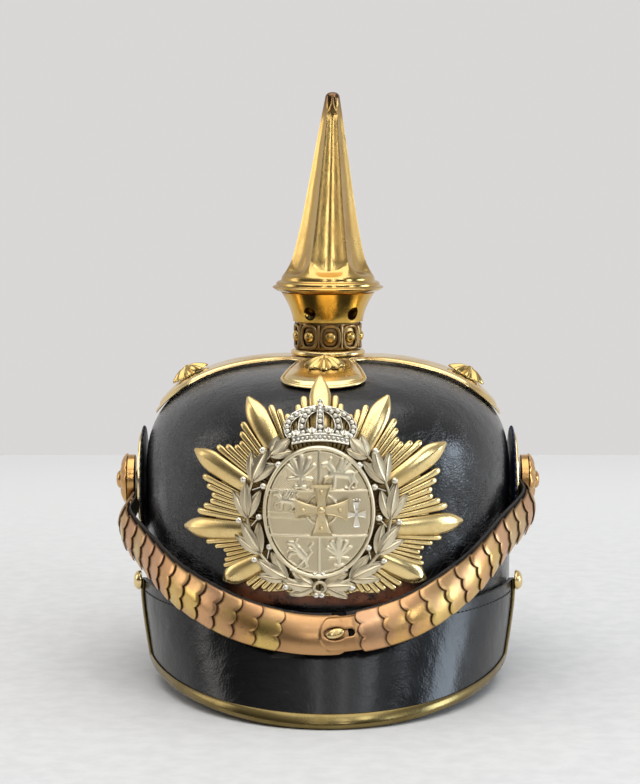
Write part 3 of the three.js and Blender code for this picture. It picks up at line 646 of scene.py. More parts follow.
def plate_point(x, z, out):
    """A point on the curve of the front plate, which leans back at the top."""
    wide = HALF_WIDTH + PLATE_OFF + out
    long = HALF_LENGTH + PLATE_OFF + out
    leaning = max(0.0, z - PLATE_LEAN_Z) / PLATE_LEAN_HEIGHT
    return Vector((x, -long * sqrt(1 - (x / wide) ** 2) + PLATE_LEAN * leaning**3.2, z))


def aside(middle, r, turn, across):
    """The (x, z) at r from a middle along a clockwise turn from upwards, then sideways from that line."""
    x = middle[0] + r * sin(turn) + across * cos(turn)
    z = middle[1] + r * cos(turn) - across * sin(turn)
    return x, z


# Leather: the shell, the peak, the neck guard and their stitches
def leather_shell():
    rows = [(DOME_SHARE * i / 30, 0.0) for i in range(31)]
    rows += [(mix(DOME_SHARE, 1, i / 8), 0.0) for i in range(1, 8)]
    rows += [(0.993, 0.0), (1.0, -0.5), (1.0, -2.0), (0.993, -WALL)]
    rows += [(mix(DOME_SHARE, 1, i / 5), -WALL) for i in (4, 3, 2, 1)]
    rows += [(DOME_SHARE * i / 14, -WALL) for i in range(14, -1, -1)]
    middle = Vector((0, 0, 70))

    def place(angle, row):
        at = shell_point(angle, *row)
        lump = noise.noise(at / 30) * 0.16 + noise.noise(at / 11) * 0.06
        return at + (at - middle).normalized() * lump

    return turned(132, rows, place)


def leather_skirt(skirt):
    return slab(110, 26, lambda s, v, w: above_floor(skirt_point(skirt, s, v, (1 - w) * WALL)))


def stitches(skirt, reach, count):
    level = 0.23
    made = bmesh.new()
    for i in range(count):
        u = mix(-reach, reach, i / (count - 1))
        at = skirt_point(skirt, u, level, -0.12)
        ahead = skirt_point(skirt, u + 0.004, level, 0) - skirt_point(skirt, u - 0.004, level, 0)
        ahead.normalize()
        out = (skirt_point(skirt, u, level, -1) - skirt_point(skirt, u, level, 0)).normalized()
        turn = Matrix((ahead, out.cross(ahead), out)).transposed().to_4x4()
        place = Matrix.Translation(at) @ turn @ Matrix.Diagonal((1.25, 0.42, 0.36, 1))
        bmesh.ops.create_uvsphere(made, u_segments=8, v_segments=5, radius=1, matrix=place)
    return made


make("shell", leather_shell(), SHELL_LACQUER)
make("front_peak", leather_skirt(PEAK), LACQUER, bevel=0.5)
make("neck_guard", leather_skirt(GUARD), LACQUER, bevel=0.5)
make("peak_stitches", stitches(PEAK, 0.94, 84), THREAD, extra=True)
make("guard_stitches", stitches(GUARD, 0.95, 80), THREAD, extra=True)


# Brass round the edges: the peak's trim, its studs and the rear spine
def peak_trim():
    """A channel round the peak's edge; its section is (inset from the edge, depth below the face)."""
    face = [(4.2, -0.35), (4.2, -0.7), (3.9, -1.0), (3.3, -1.25), (2.4, -1.42), (1.2, -1.44)]
    lip = [(0.2, -1.32), (-0.6, -0.98), (-1.15, -0.42), (-1.45, 0.3), (-1.5, 1.0)]
    back = [(-1.5, 2.6), (-1.2, 3.5), (-0.5, 3.95), (3.6, 3.95), (3.6, 2.85), (-0.35, 2.85), (-0.35, -0.35)]
    section = face + lip + back
    downs = [0.0, 0.1, 0.2, 0.3, 0.4, 0.5, 0.6, 0.7, 0.8, 0.88, 0.94, 0.98]
    left = [(-1.0, v, 1, 0) for v in downs]
    right = [(1.0, v, -1, 0) for v in reversed(downs)]
    front = [(2 * i / 100 - 1, 1.0, 0, 1) for i in range(1, 100)]
    route = left + [(-1.0, 1.0, 1, 1)] + front + [(1.0, 1.0, -1, 1)] + right
    side_length = (skirt_point(PEAK, 0.99, 1, 0) - skirt_point(PEAK, 1, 1, 0)).length / 0.01
    down_length = (skirt_point(PEAK, 0, 0.5, 0) - skirt_point(PEAK, 0, 1, 0)).length / 0.5

    def place(u, v):
        inset, depth = section[round(u * len(section)) % len(section)]
        at_u, at_v, in_u, in_v = route[round(v * (len(route) - 1))]
        opened = ease(at_v, 0.36, 0.58)
        if depth > WALL:
            depth = mix(WALL - (0.2 if inset > 0 else 0.4), depth, opened)
            inset = mix(min(inset, -GAP), inset, opened)
        far_u = at_u + in_u * inset / side_length
        far_v = at_v - in_v * inset / down_length
        if inset > 0 and in_u == 0:
            limit = 1 - inset / side_length
            far_u = min(max(far_u, -limit), limit)
        if inset > 0 and in_v == 0:
            far_v = min(far_v, 1 - inset / down_length)
        return above_floor(skirt_point(PEAK, far_u, far_v, depth))

    return close(grid(len(section), len(route) - 1, place))


def peak_stud(side):
    dome = [(0, 0), (4.7, 0), (5.0, 0.3), (4.95, 0.8), (4.6, 1.6), (3.9, 2.4), (2.8, 3.0)]
    dome += [(1.4, 3.32), (0, 3.4)]

    def over(out):
        return skirt_point(PEAK, side * 0.985, 0.04, -out)

    outward = (over(10) - over(0)).normalized()
    return standing(spun(dome, 28), over(1.1 + 2 * GAP), outward)


def rear_spine():
    def route(share, x, out):
        if share <= 0.3:
            return dome_point(x, mix(SPINE_START_Y, HALF_LENGTH - 0.5, share / 0.3), out)
        if share <= 0.62:
            t = (share - 0.3) / 0.32
            curve = HALF_LENGTH * (1 - sqrt(1 - (x / HALF_WIDTH) ** 2))
            step = ease(t, 0.7, 1) * (WALL + GAP)
            return Vector((x, HALF_LENGTH - curve + out + step, mix(SHOULDER_Z - 4, 53, t)))
        t = (share - 0.62) / 0.38
        return skirt_point(GUARD, -x / (HALF_WIDTH * SKIRT_ANGLE), mix(0.04, 0.97, t), -out)

    def place(s, v, w):
        bead = 0.5 * (ease(abs(s), 0.62, 0.78) - ease(abs(s), 0.86, 1.0))
        crown = 0.55 + 0.45 * (1 - s * s) + bead * 0.35
        return route(v, s * SPINE_HALF, 2 * GAP + w * 1.6 * min(crown, 1.0))

    return slab(14, 70, place)


make("front_peak_trim", peak_trim(), SHADED_TRIM_BRASS, crease=50)
make("peak_stud_left", peak_stud(-1), BRASS)
make("peak_stud_right", peak_stud(1), BRASS)
make("rear_spine", rear_spine(), BRASS)

# The four-armed base and its stars
ARM_ROOT = 14
ARM_HALF = 21
ARM_LENGTHS = (83.5, 88)
STAR_RADIUS = 10.3


def arm_radius(turn, length):
    widest = length * 0.8

    def half_at(d):
        if d > length:
            return 0.0
        if d > widest:
            return ARM_HALF * sqrt(1 - ((d - widest) / (length - widest)) ** 2)
        return mix(ARM_ROOT, ARM_HALF, max(0.0, d - 20) / (widest - 20))

    low, high = 0.0, length
    for _ in range(36):
        r = (low + high) / 2
        if half_at(r * cos(turn)) >= r * sin(turn):
            low = r
        else:
            high = r
    return max(low, 24.0)


def arm_side(length, count):
    """Evenly spaced points from the corner between two arms to an arm's tip."""
    raw = []
    for i in range(401):
        turn = radians(45) * (1 - i / 400)
        r = arm_radius(turn, length)
        raw.append(Vector((r * cos(turn), r * sin(turn))))
    lengths = walked(raw)
    points = []
    for i in range(count + 1):
        want = lengths[-1] * i / count
        k = min(max(bisect_left(lengths, want) - 1, 0), len(raw) - 2)
        share = (want - lengths[k]) / max(lengths[k + 1] - lengths[k], 1e-9)
        points.append((raw[k].lerp(raw[k + 1], min(share, 1.0)), want))
    return points


def base_arm(heading, length):
    """One arm, from rows of (share of the way to its axis, inset from its edge, height over the dome)."""
    count = 44
    side = arm_side(length, count)
    rows = [(1.0, 0, 1.0), (0.5, 0, 1.0), (0, 0.7, 1.0), (0, 0.15, 1.1), (0, 0.0, 1.45), (0, 0.1, 1.8)]
    rows += [(0, 0.45, 2.05), (0, 1.0, 2.15), (0, 1.6, 2.05), (0, 2.0, 1.95), (0, 2.3, 2.1), (0, 2.7, 2.5)]
    rows += [(0, 3.3, 2.85), (0, 4.2, 3.1), (0.4, 0, 3.3), (0.6, 0, 3.4), (0.8, 0, 3.45), (1.0, 0, 3.45)]

    def place(u, v):
        step = round(u * 2 * count)
        point, walked = side[min(step, 2 * count - step)]
        hand = (step > count) - (step < count)
        axis = Vector((min(point.x, length - 19) * ease(walked, 0, 14), 0))
        edge = Vector((point.x, hand * point.y))
        share, inset, out = rows[round(v * (len(rows) - 1))]
        reach = (axis - edge).length
        ahead, across = edge.lerp(axis, max(share, min(inset / max(reach, 0.1), 1.0)))
        out = min(out, mix(2.6, 3.5, ease(hypot(ahead, across), 20, 34)))
        x = ahead * sin(heading) + across * cos(heading)
        y = across * sin(heading) - ahead * cos(heading)
        return dome_point(x, y, out)

    return grid(2 * count, len(rows) - 1, place)


def cross_base():
    arms = [base_arm(radians(90 * k + BASE_TURN), ARM_LENGTHS[k % 2]) for k in range(4)]
    return close(joined(*arms))


def base_star(heading, distance):
    x, y = distance * sin(heading), -distance * cos(heading)
    seat = dome_point(x, y, 0)
    outward = dome_point(x, y, 1) - seat
    rows = both_ways([0.0, 0.1, 0.2, 0.32, 0.45, 0.58, 0.7, 0.8, 0.9, 0.96, 1.0], False, True)

    def place(angle, row):
        share, front = row
        wave = abs(cos(4 * angle))
        edge = STAR_RADIUS * mix(0.76, 1.0, wave**2.2)
        crown = 5.2 * (1 - share**1.7) ** 0.85
        ridge = 1.15 * (wave - 0.5) * ease(share, 0.12, 0.5) * (1 - 0.55 * share)
        button = 0.5 * ease(share, 0.2, 0.08)
        return around(angle, edge * share, max(0.35, 0.5 + crown * 0.86 + ridge + button) if front else 0.0)

    return standing(turned(96, rows, place), seat + outward * (BASE_LIFT + 2.2 + GAP), outward, heading)


make("cross_base", cross_base(), BRASS)
STARS = [("front", 0, 54.5), ("right", 90, 69.5), ("rear", 180, 54.5), ("left", 270, 69.5)]
for name, heading, distance in STARS:
    make("base_star_" + name, base_star(radians(heading + BASE_TURN), distance), STAR_BRASS, crease=30)

# The stack on the crown
PEARL_TURNS = [radians(4 + 40 * k) for k in range(9)]
PEARL_MIDDLE_Z = PEARL_Z + 6.6
RING_RADIUS = 16.8
VENT_RADIUS = 3.4
VENT_Z = NECK_Z + 0.31 * NECK_HEIGHT
SPIKE_TURN = radians(31)
FLUTE_ANGLE = radians(60)
FLUTE_FOOT_Z = 202.6
VENTS = [radians(degrees) for degrees in (-30, 42, 114, 186, 258)]


def collar():
    rows = [(8, 0), (18.4, 0), (19.0, 0.3), (19.2, 0.9), (19.1, 1.6), (18.6, 2.3), (17.8, 2.7)]
    return spun(rows + [(16.5, 2.8), (8, 2.8)], 72, COLLAR_Z, ring=True)


def pearl_ring():
    wall = [(14.2, 0), (15.8, 0), (16.1, 0.4), (16.1, 13.2), (15.9, 13.6), (15.4, 13.65)]
    parts = [spun(wall + [(15.4, 15.3), (14.2, 15.3)], 108, PEARL_Z, ring=True)]

    def dart_width(t):
        return 0.9 * (1 - ease(t, 0.78, 1.0)) * (0.65 + 0.4 * ease(t, 0.3, 0.78)) + 0.02

    for turn in PEARL_TURNS:
        between = turn + radians(20)

        def frame_path(t, turn=turn):
            across, up = cos(2 * pi * t), sin(2 * pi * t)
            wide = 4.7 * copysign(abs(across) ** 0.7, across)
            high = 5.7 * copysign(abs(up) ** 0.7, up)
            return around(turn + wide / RING_RADIUS, RING_RADIUS - 0.1, PEARL_MIDDLE_Z + high)

        def dart_path(t, between=between):
            return around(between, RING_RADIUS + 0.1, PEARL_Z + mix(1.2, 13.95, t))

        parts.append(rod(frame_path, lambda t: 0.9, 10, 52, around(turn, 1, 0), closed=True))
        parts.append(rod(dart_path, dart_width, 8, 16, around(between, 1, 0)))
    return joined(*parts)


def pearls():
    parts = []
    for turn in PEARL_TURNS:
        pearl = ball((0, 0, 0), 1.0, 20, 12)
        bmesh.ops.scale(pearl, vec=(3.0, 3.2, 2.6), verts=pearl.verts)
        parts.append(standing(pearl, around(turn, 15.95, PEARL_MIDDLE_Z), around(turn, 1, 0)))
    return joined(*parts)


def neck_point(angle, level):
    return around(angle, 18.1 + 5.9 * level**1.6, NECK_Z + NECK_HEIGHT * level)


def from_vent(co):
    """How far a point lies from the nearest vent: distance, the vent, across and up."""
    found = []
    for vent in VENTS:
        turn = (atan2(co.x, -co.y) - vent + pi) % (2 * pi) - pi
        across = turn * hypot(co.x, co.y)
        found.append((hypot(across, co.z - VENT_Z), vent, across, co.z - VENT_Z))
    return min(found)


def spike_neck():
    bm = grid(200, 26, lambda u, v: neck_point(2 * pi * u, v))
    bmesh.ops.remove_doubles(bm, verts=bm.verts, dist=2e-4)
    holes = [face for face in bm.faces if from_vent(face.calc_center_median())[0] < VENT_RADIUS]
    bmesh.ops.delete(bm, geom=holes, context="FACES")
    for vert in bm.verts:
        distance, vent, across, up = from_vent(vert.co)
        if vert.is_boundary and distance < 5 and vert.co.z > NECK_Z + 0.1:
            grow = VENT_RADIUS / distance
            turn = across * grow / hypot(vert.co.x, vert.co.y)
            vert.co = neck_point(vent + turn, (VENT_Z + up * grow - NECK_Z) / NECK_HEIGHT)
    bmesh.ops.recalc_face_normals(bm, faces=bm.faces)
    bm.normal_update()
    bm.faces.ensure_lookup_table()
    if bm.faces[0].normal.dot(bm.faces[0].calc_center_median() * Vector((1, 1, 0))) < 0:
        bmesh.ops.reverse_faces(bm, faces=bm.faces)
    bmesh.ops.solidify(bm, geom=bm.faces[:], thickness=1.2)
    return bm


def spike():
    foot = [(24.2, 194.5), (26.2, 195.2), (27.8, 196.1), (28.5, 196.75), (28.6, 197.05), (28.3, 197.4)]
    foot += [(27.4, 197.8), (26.8, 198.0), (26.65, 198.25), (26.75, 198.8), (26.5, 199.4), (25.8, 199.9)]
    foot += [(24.9, 200.2), (24.3, 200.4), (24.05, 200.8), (23.95, 201.6), (23.7, 202.5)]
    radii = [(202.5, 23.7), (205.5, 21.6), (210, 19.3), (217, 17.3), (231, 14.3), (251, 10.9)]
    radii += [(271, 7.6), (293.5, 3.8)]
    levels = [202.5 + 20 * (i / 24) ** 1.1 for i in range(1, 25)]
    levels += [222.5 + 71 * i / 36 for i in range(1, 37)]
    body = [(along_rows(radii, z), z) for z in levels]
    tip = [(3.6, 294.6), (3.1, 295.5), (2.2, 296.2), (1.1, 296.5), (0, 296.6)]
    inside = [(0, 280), (6.2, 251), (11.8, 222), (17.2, 206), (22, 194.5)]
    rows = [(r, z, False) for r, z in inside] + [(r, z, True) for r, z in foot + body + tip]

    def place(angle, row):
        r, z, outer = row
        off = abs((angle / FLUTE_ANGLE) % 1 - 0.5) * 2
        bottom = FLUTE_FOOT_Z + 7 * off**4
        if outer:
            fade = ease(z, bottom, bottom + 3.2) * (1 - ease(z, 282, 294))
            r = r * (1 - 0.2 * cos(off * pi / 2) ** 0.85 * fade)
        at = around(angle + SPIKE_TURN, r, z)
        at.x += SPIKE_LEAN * max(0.0, z - 199)
        return at

    return turned(120, rows, place)


make("base_collar", collar(), BRASS)
make("pearl_ring", pearl_ring(), DARK_BRASS)
make("pearls", pearls(), PEARL_BRASS, extra=True)
make("spike_neck", spike_neck(), NECK_BRASS)
make("spike", spike(), SPIKE_BRASS, crease=45)

# The front plate: nine leaf rays of (degrees, length), with fluted rays between them
PLATE_MIDDLE = (-4.0, 90.0)
RAYS = [(-121, 55), (-94, 67), (-61, 70), (-30, 70), (0, 71), (28, 70), (58, 72), (91, 70), (118, 58)]
REACH = RAYS + [(150, 37), (180, 34), (210, 37), (239, 55)]


def ray_length(degrees):
    """The plate's reach in a direction, between its main rays."""
    first = REACH[0][0]
    degrees = (degrees - first) % 360 + first
    for (start, a), (end, b) in zip(REACH, REACH[1:]):
        if degrees <= end:
            return mix(a, b, (degrees - start) / (end - start))


def leaf_ray(turn, length):
    start = 18
    halves = [(0, 3.6), (0.3, 4.3), (0.55, 5.0), (0.72, 5.4), (0.82, 5.1)]
    halves += [(0.89, 4.0), (0.945, 2.3), (0.98, 0.9), (1, 0.2)]

    def place(s, v, w):
        r = mix(start, length - 0.6, 1 - (1 - v) ** 1.25)
        t = (r - start) / (length - start)
        half = along_rows(halves, t)
        dome = (1 - abs(s) ** 2.3) ** 0.7
        height = mix(2.3, 2.1, ease(t, 0.7, 1)) * min(1, half / 3.2)
        keel = 0.3 * ease(abs(s), 0.3, 0.0) * ease(t, 0.62, 0.95)
        out = 0.45 + height * dome + keel if w else 0.1
        return plate_point(*aside(PLATE_MIDDLE, r, turn, s * half), out)

    return slab(16, 36, place)


def flute(turn, length, half_angle):
    start = 16
    half_end = length * half_angle

    def place(s, v, w):
        r = mix(start, length, 1 - (1 - v) ** 1.6)
        past = max(0.0, r - (length - half_end)) / half_end
        half = r * half_angle * sqrt(max(0.0004, 1 - past * past))
        dome = sqrt(max(0.0, 1 - abs(s) ** 3))
        out = 0.8 + 0.9 * dome * min(1, half / half_end + 0.1) if w else 0.1
        return plate_point(*aside(PLATE_MIDDLE, r, turn, s * half), out)

    return slab(8, 14, place)


def star_plate():
    notch = [0.88, 0.835, 0.79, 0.785, 0.83, 0.875]
    parts = [leaf_ray(radians(degrees), length) for degrees, length in RAYS]
    for (start, _), (end, _) in zip(RAYS, RAYS[1:]):
        for i, share in enumerate(notch):
            degrees = mix(start, end, (7.4 + i * 3.04) / 30)
            parts.append(flute(radians(degrees), share * ray_length(degrees), radians(0.05 * (end - start))))
    for i in range(27):
        degrees = 126.5 + i * 104 / 26
        ripple = 0.95 if i % 2 else 0.92
        parts.append(flute(radians(degrees), ripple * ray_length(degrees), radians(1.9)))

    def backing(angle, row):
        share, out = row
        reach = ray_length(angle * 180 / pi)
        r = share * reach * (0.74 if reach > 45 else 0.94)
        return plate_point(*aside(PLATE_MIDDLE, max(r, 0.001), angle, 0), out)

    parts.append(turned(96, both_ways([0, 0.4, 0.7, 0.9, 1], 0.0, 0.55), backing))
    return joined(*parts)


make("star_plate", star_plate(), PLATE_BRASS, crease=60)

# The silver badge; its charges are strokes from (x, z) to (x, z) with half a width
BADGE_BACK = 4.45
SHIELD_WIDE = 26.6
SHIELD_HIGH = 31.5
WREATH_WIDE = 34
WREATH_HIGH = 35.4
CROSS_MIDDLE = (-3.4, 99.8)
FRONDS = [(0.6, -0.8, 3.2, 4.6, 1.2), (0.8, -1.4, 5, 2.2, 1.0), (0.8, -2.2, 4.2, -2.8, 0.8)]
PALMETTE = [(0, -5.4, 0, -1, 1.0), (0, -1, 0, 5.4, 1.5), (-1.8, -5.8, 1.8, -5.8, 0.8)]
PALMETTE += FRONDS + [(-x0, z0, -x1, z1, half) for x0, z0, x1, z1, half in FRONDS]
BEAST = [
    (-3.4, 0, 3.2, -0.6, 1.75), (-3.2, 0.6, -5, 3.2, 1.25), (-5, 3.6, -6.8, 3.0, 1.0),
    (-4.8, 4.4, -4, 5.6, 0.5), (-4, -0.8, -6.2, -1.8, 0.75), (-6.2, -1.8, -6.6, -3.6, 0.55),
    (-2.8, -1, -3, -5.2, 0.7), (-3, -5.2, -4.2, -5.4, 0.5), (3, -1.2, 3.4, -3.4, 1.0),
    (3.4, -3.4, 2.4, -5.3, 0.6), (2.4, -5.3, 1.2, -5.4, 0.45), (4, -1.2, 5.2, -3.4, 0.8),
    (5.2, -3.4, 4.8, -5.3, 0.55), (4.8, -5.3, 3.8, -5.5, 0.45),
    (4.6, -0.2, 6.4, 1.6, 0.5), (6.4, 1.6, 5.2, 3.4, 0.45), (5.2, 3.4, 6.4, 4.8, 0.65),
    (-1.8, 1.2, 0.2, 5.2, 0.85), (-0.6, 1, 1.8, 4.6, 0.75), (0.6, 0.8, 3, 3.6, 0.65),
]
RAMPANT = [
    (2.2, -1.8, -0.6, 1.4, 1.7), (-0.6, 1.4, -2.2, 3.6, 1.25), (-2.2, 3.8, -3.9, 3.9, 1.05),
    (-1.6, 4.6, -0.9, 5.6, 0.5), (-1.2, 1, -4, 1.6, 0.65), (-4, 1.6, -4.9, 0.4, 0.5),
    (-0.8, 0.2, -3.6, -0.6, 0.65), (-3.6, -0.6, -4.2, -1.9, 0.5), (2, -2.2, 0.4, -4.2, 0.85),
    (0.4, -4.2, -1, -5.6, 0.55), (2.6, -2.4, 3, -4.8, 0.8), (3, -4.8, 1.8, -5.8, 0.5),
    (3.2, -1.2, 4.8, 0.6, 0.55), (4.8, 0.6, 4, 2.6, 0.5), (4, 2.6, 5.2, 4.2, 0.65),
]
CHARGES = [(PALMETTE, -8.6, 19.3, 1.25), (BEAST, 10.8, 18.6, 1.28), (BEAST, -15.0, 5.6, 0.86)]
CHARGES += [(RAMPANT, -9.2, -19.4, 1.2), (PALMETTE, 9.4, -18.8, 1.05)]


def stroke_height(x, z, strokes):
    best = 0.0
    for x0, z0, x1, z1, half in strokes:
        ax, az = x1 - x0, z1 - z0
        t = min(max(((x - x0) * ax + (z - z0) * az) / (ax * ax + az * az), 0.0), 1.0)
        best = max(best, bump_line(hypot(x - x0 - ax * t, z - z0 - az * t), half))
    return best


def shield_relief(x, z):
    """Height of the shield's face over its field."""
    e = hypot(x / SHIELD_WIDE, z / SHIELD_HIGH)
    if e > 0.93:
        return 1.35 * bump_line(e - 0.965, 0.036)
    upper, lower = 10.3, -11.2
    bars = max(bump_line(z - upper, 0.62), bump_line(z - lower, 0.62))
    if z > upper or z < lower:
        bars = max(bars, bump_line(x - 0.2, 0.62))
    height = max(0.4 * bump_line(e - 0.905, 0.014), 0.62 * bars)
    for strokes, at_x, at_z, size in CHARGES:
        if abs(x - at_x) < 8 * size and abs(z - at_z) < 7.5 * size:
            height = max(height, 0.85 * stroke_height((x - at_x) / size, (z - at_z) / size, strokes))
    height = max(height, 0.85 * bump_line(hypot(x - 1.2, z - 1.5) - 7.3, 0.55))
    if x < -6 and -11 < z < 0:
        height = max(height, 0.4 * max(bump_line(z, 0.5), bump_line(z + 2.8, 0.5)))
    return height


def shield():
    def oval(s, v):
        up = 2 * v - 1
        return SHIELD_WIDE * s * sqrt(1 - up * up / 2), SHIELD_HIGH * up * sqrt(1 - s * s / 2)

    def place(s, v, w):
        x, z = oval(s, v)
        return plate_point(SHIELD_X + x, SHIELD_Z + z, 5.65 + shield_relief(x, z) if w else BADGE_BACK)

    bm = slab(130, 150, place)
    on_sheet = bm.verts.layers.float_vector["on_sheet"]
    relief = bm.verts.layers.float.new("relief")
    for vert in bm.verts:
        u, v, w = vert[on_sheet]
        vert[relief] = shield_relief(*oval(2 * u - 1, v)) * w
    return bm


def cross_arms(middle, lengths, waist, wide, back, front):
    """Four arms that widen in a curve, on the badge's face."""
    arms = []
    for k in range(4):

        def place(s, v, w, turn=radians(90 * k), length=lengths[k % 2]):
            d = length * v
            across = s * min(mix(waist, wide, v**1.8), d + 0.4)
            rim = max(ease(abs(s), 0.7, 0.84) * ease(v, 0.15, 0.3), ease(v, 0.9, 0.95))
            out = front + 0.25 * rim - 0.3 * ease(abs(s), 0.9, 1.0) if w else back
            return plate_point(*aside(middle, d, turn, across), out)

        arms.append(slab(18, 22, place))
    return joined(*arms)


def studs(middle, offsets, out, radius, segments, rings):
    """Small balls on the badge, each moved off a middle by (x, z)."""
    places = [plate_point(middle[0] + x, middle[1] + z, out) for x, z in offsets]
    return [ball(at, radius, segments, rings) for at in places]


def shield_cross():
    arms = cross_arms(CROSS_MIDDLE, (12.1, 12.4), 1.9, 5.2, 7.0, 8.45)
    boss = studs(CROSS_MIDDLE, [(0, 0)], 8.5, 1.9, 16, 10)
    rivets = studs(CROSS_MIDDLE, [(0, 8.6), (0, -8.6), (8.6, 0), (-8.6, 0)], 8.3, 1.1, 12, 8)
    return joined(arms, *boss, *rivets)


def small_cross():
    arms = cross_arms((13, 97.4), (6.0, 4.5), 0.75, 1.9, 5.6, 7.0)
    return joined(arms, *studs((13, 104.6), [(0, 0), (-1.3, -0.3), (1.3, -0.3)], 6.9, 0.7, 8, 6))


def leaf(at, heading, length, width, lift):
    """A pointed laurel leaf from a place on the badge, heading clockwise from upwards."""

    def place(s, v, w):
        half = width * sin(pi * v**0.9) ** 0.8 + 0.12
        bend = heading + 0.12 * (v - 0.5)
        rib = 0.45 * bump_line(s, 0.17) + 0.25 * ease(abs(s), 0.7, 0.92)
        dome = 0.8 * (1 - abs(s) ** 1.5) * sin(pi * min(v + 0.12, 1) ** 0.8)
        out = lift + 0.3 + dome + rib if w else BADGE_BACK
        return plate_point(*aside(at, length * v, bend, s * half), out)

    return slab(10, 14, place)


def branch(side, degrees, grow=0.0):
    """A place on one branch of the wreath, in degrees from its foot, grow outside its stem."""
    turn = radians(180 - degrees)
    return (SHIELD_X + side * (WREATH_WIDE + grow) * sin(turn), SHIELD_Z + (WREATH_HIGH + grow) * cos(turn))


# Sprays of three leaves by (degrees from the wreath's foot, size), on both branches
SPRAY_SIZES = [(3, 0.9), (25, 1.0), (54, 1.0), (83, 1.0), (112, 1.0), (137, 0.72)]
SPRAYS = [(side, degrees, size) for side in (-1, 1) for degrees, size in SPRAY_SIZES]


def laurel_wreath():
    parts = []
    for side in (-1, 1):

        def stem(t, side=side):
            return plate_point(*branch(side, mix(4, 141, t)), 5.1)

        parts.append(rod(stem, lambda t: mix(1.0, 0.5, t), 8, 40))
    for side, degrees, size in SPRAYS:
        at = branch(side, degrees)
        ahead = branch(side, degrees + 8)
        heading = atan2(ahead[0] - at[0], ahead[1] - at[1])
        parts.append(leaf(at, heading + side * 0.5, 15 * size, 2.25, 4.6))
        parts.append(leaf(at, heading - side * 0.42, 15.5 * size, 2.35, 4.7))
        parts.append(leaf(at, heading + side * 0.06, 18 * size, 2.75, 5.15))

    def knot(t):
        x = SHIELD_X + 0.4 + 2.7 * cos(2 * pi * t)
        return plate_point(x, SHIELD_Z - 35.6 + 2.5 * sin(2 * pi * t), 5.6)

    parts.append(rod(knot, lambda t: 0.95, 8, 24, closed=True))
    return joined(*parts)


def berries():
    parts = []
    for side, degrees, _ in SPRAYS:
        for grow, on in ((-5.6, 1), (4.1, -1)):
            end = plate_point(*branch(side, degrees + on, grow), 5.25)
            root = plate_point(*branch(side, degrees - 6, grow * 0.2), 4.6)
            parts.append(ball(end, 1.65, 14, 9))
            parts.append(rod(lambda t, a=end, b=root: a.lerp(b, t), lambda t: 0.3, 6, 3))
    return joined(*parts)


# The badge's crown: each arch is (x from the middle, z) points, with its count of pearls
CROWN_X = -4
BAND_HALF = 13.4
ORB = (CROWN_X, 147.6)
ARCHES = [
    ([(0, 134.6), (0, 138), (0, 142), (0, 145), (0, 147)], 6),
    ([(7.4, 133.8), (8.7, 138), (7.7, 142), (5.2, 144.8), (1.4, 146.6)], 6),
    ([(13.6, 132.8), (15.6, 136.8), (14.2, 141), (9.6, 144.4), (2.0, 146.6)], 8),
]


def crown_arch(side, i):
    knots, count = ARCHES[i]
    wide = [(k / 4, x) for k, (x, z) in enumerate(knots)]
    high = [(k / 4, z) for k, (x, z) in enumerate(knots)]

    def on_line(t):
        return Vector((along_rows(wide, t), along_rows(high, t)))

    def arch(t, across, out):
        ahead = (on_line(min(t + 0.01, 1)) - on_line(max(t - 0.01, 0))).normalized()
        x, z = on_line(t) + across * Vector((ahead.y, -ahead.x))
        return plate_point(CROWN_X + side * x, z, 4.5 + 0.5 * sin(pi * min(t + 0.15, 1)) - 0.25 * i + out)

    def strip(s, v, w):
        return arch(v, s * mix(2.2 - 0.15 * i, 1.2, v), 0.5 * ease(abs(s), 0.5, 0.75) if w else -0.9)

    pearls = [ball(arch((k + 0.6) / (count + 0.2), 0, 0.55), 1.25, 10, 6) for k in range(count)]
    return [slab(10, 20, strip), *pearls]


def badge_crown():
    def on_band(s, up, out):
        return plate_point(CROWN_X + BAND_HALF * s, 131.6 - 1.9 * s * s + up, out)

    def band(s, v, w):
        roll = 0.55 * (bump_line(v - 0.13, 0.14) + bump_line(v - 0.87, 0.14))
        return on_band(s, 4 * v, 5.1 + roll + 0.5 * (1 - s * s) if w else 3.6)

    parts = [slab(36, 14, band)]
    for i in range(13):
        s = -0.92 + 1.84 * i / 12
        parts.append(ball(on_band(s, 2, 5.35 + 0.5 * (1 - s * s)), 0.85, 8, 6))
    for dx in (-11.4, -3.9, 3.9, 11.4):
        foot = on_band(dx / BAND_HALF, 3.4, 0)
        for turn in (-0.75, 0.75, 0):
            parts.append(leaf((foot.x, foot.z), turn, 3.6, 1.05, 5.0))
    for side, i in ((1, 0), (-1, 1), (1, 1), (-1, 2), (1, 2)):
        parts += crown_arch(side, i)
    parts += studs(ORB, [(0, 0)], 5.1, 1.5, 12, 8)
    parts += studs(ORB, [(0, 1.7), (0, 2.6), (-0.95, 2.0), (0.95, 2.0)], 5.2, 0.72, 8, 6)
    return joined(*parts)


make("shield", shield(), SHIELD_SILVER, crease=60)
make("shield_cross", shield_cross(), GILT)
make("laurel_wreath", laurel_wreath(), SILVER, crease=60)
make("berries", berries(), BRIGHT_SILVER, extra=True)
make("crown", badge_crown(), BRIGHT_SILVER, crease=60)
make("small_cross", small_cross(), BRIGHT_SILVER, extra=True)


# The cockades and bosses stand on the shell's sides, turned about X
def sideways(side, angle, r, x):
    return Vector((side * x, SIDE_Y + r * sin(angle), SIDE_Z + r * cos(angle)))


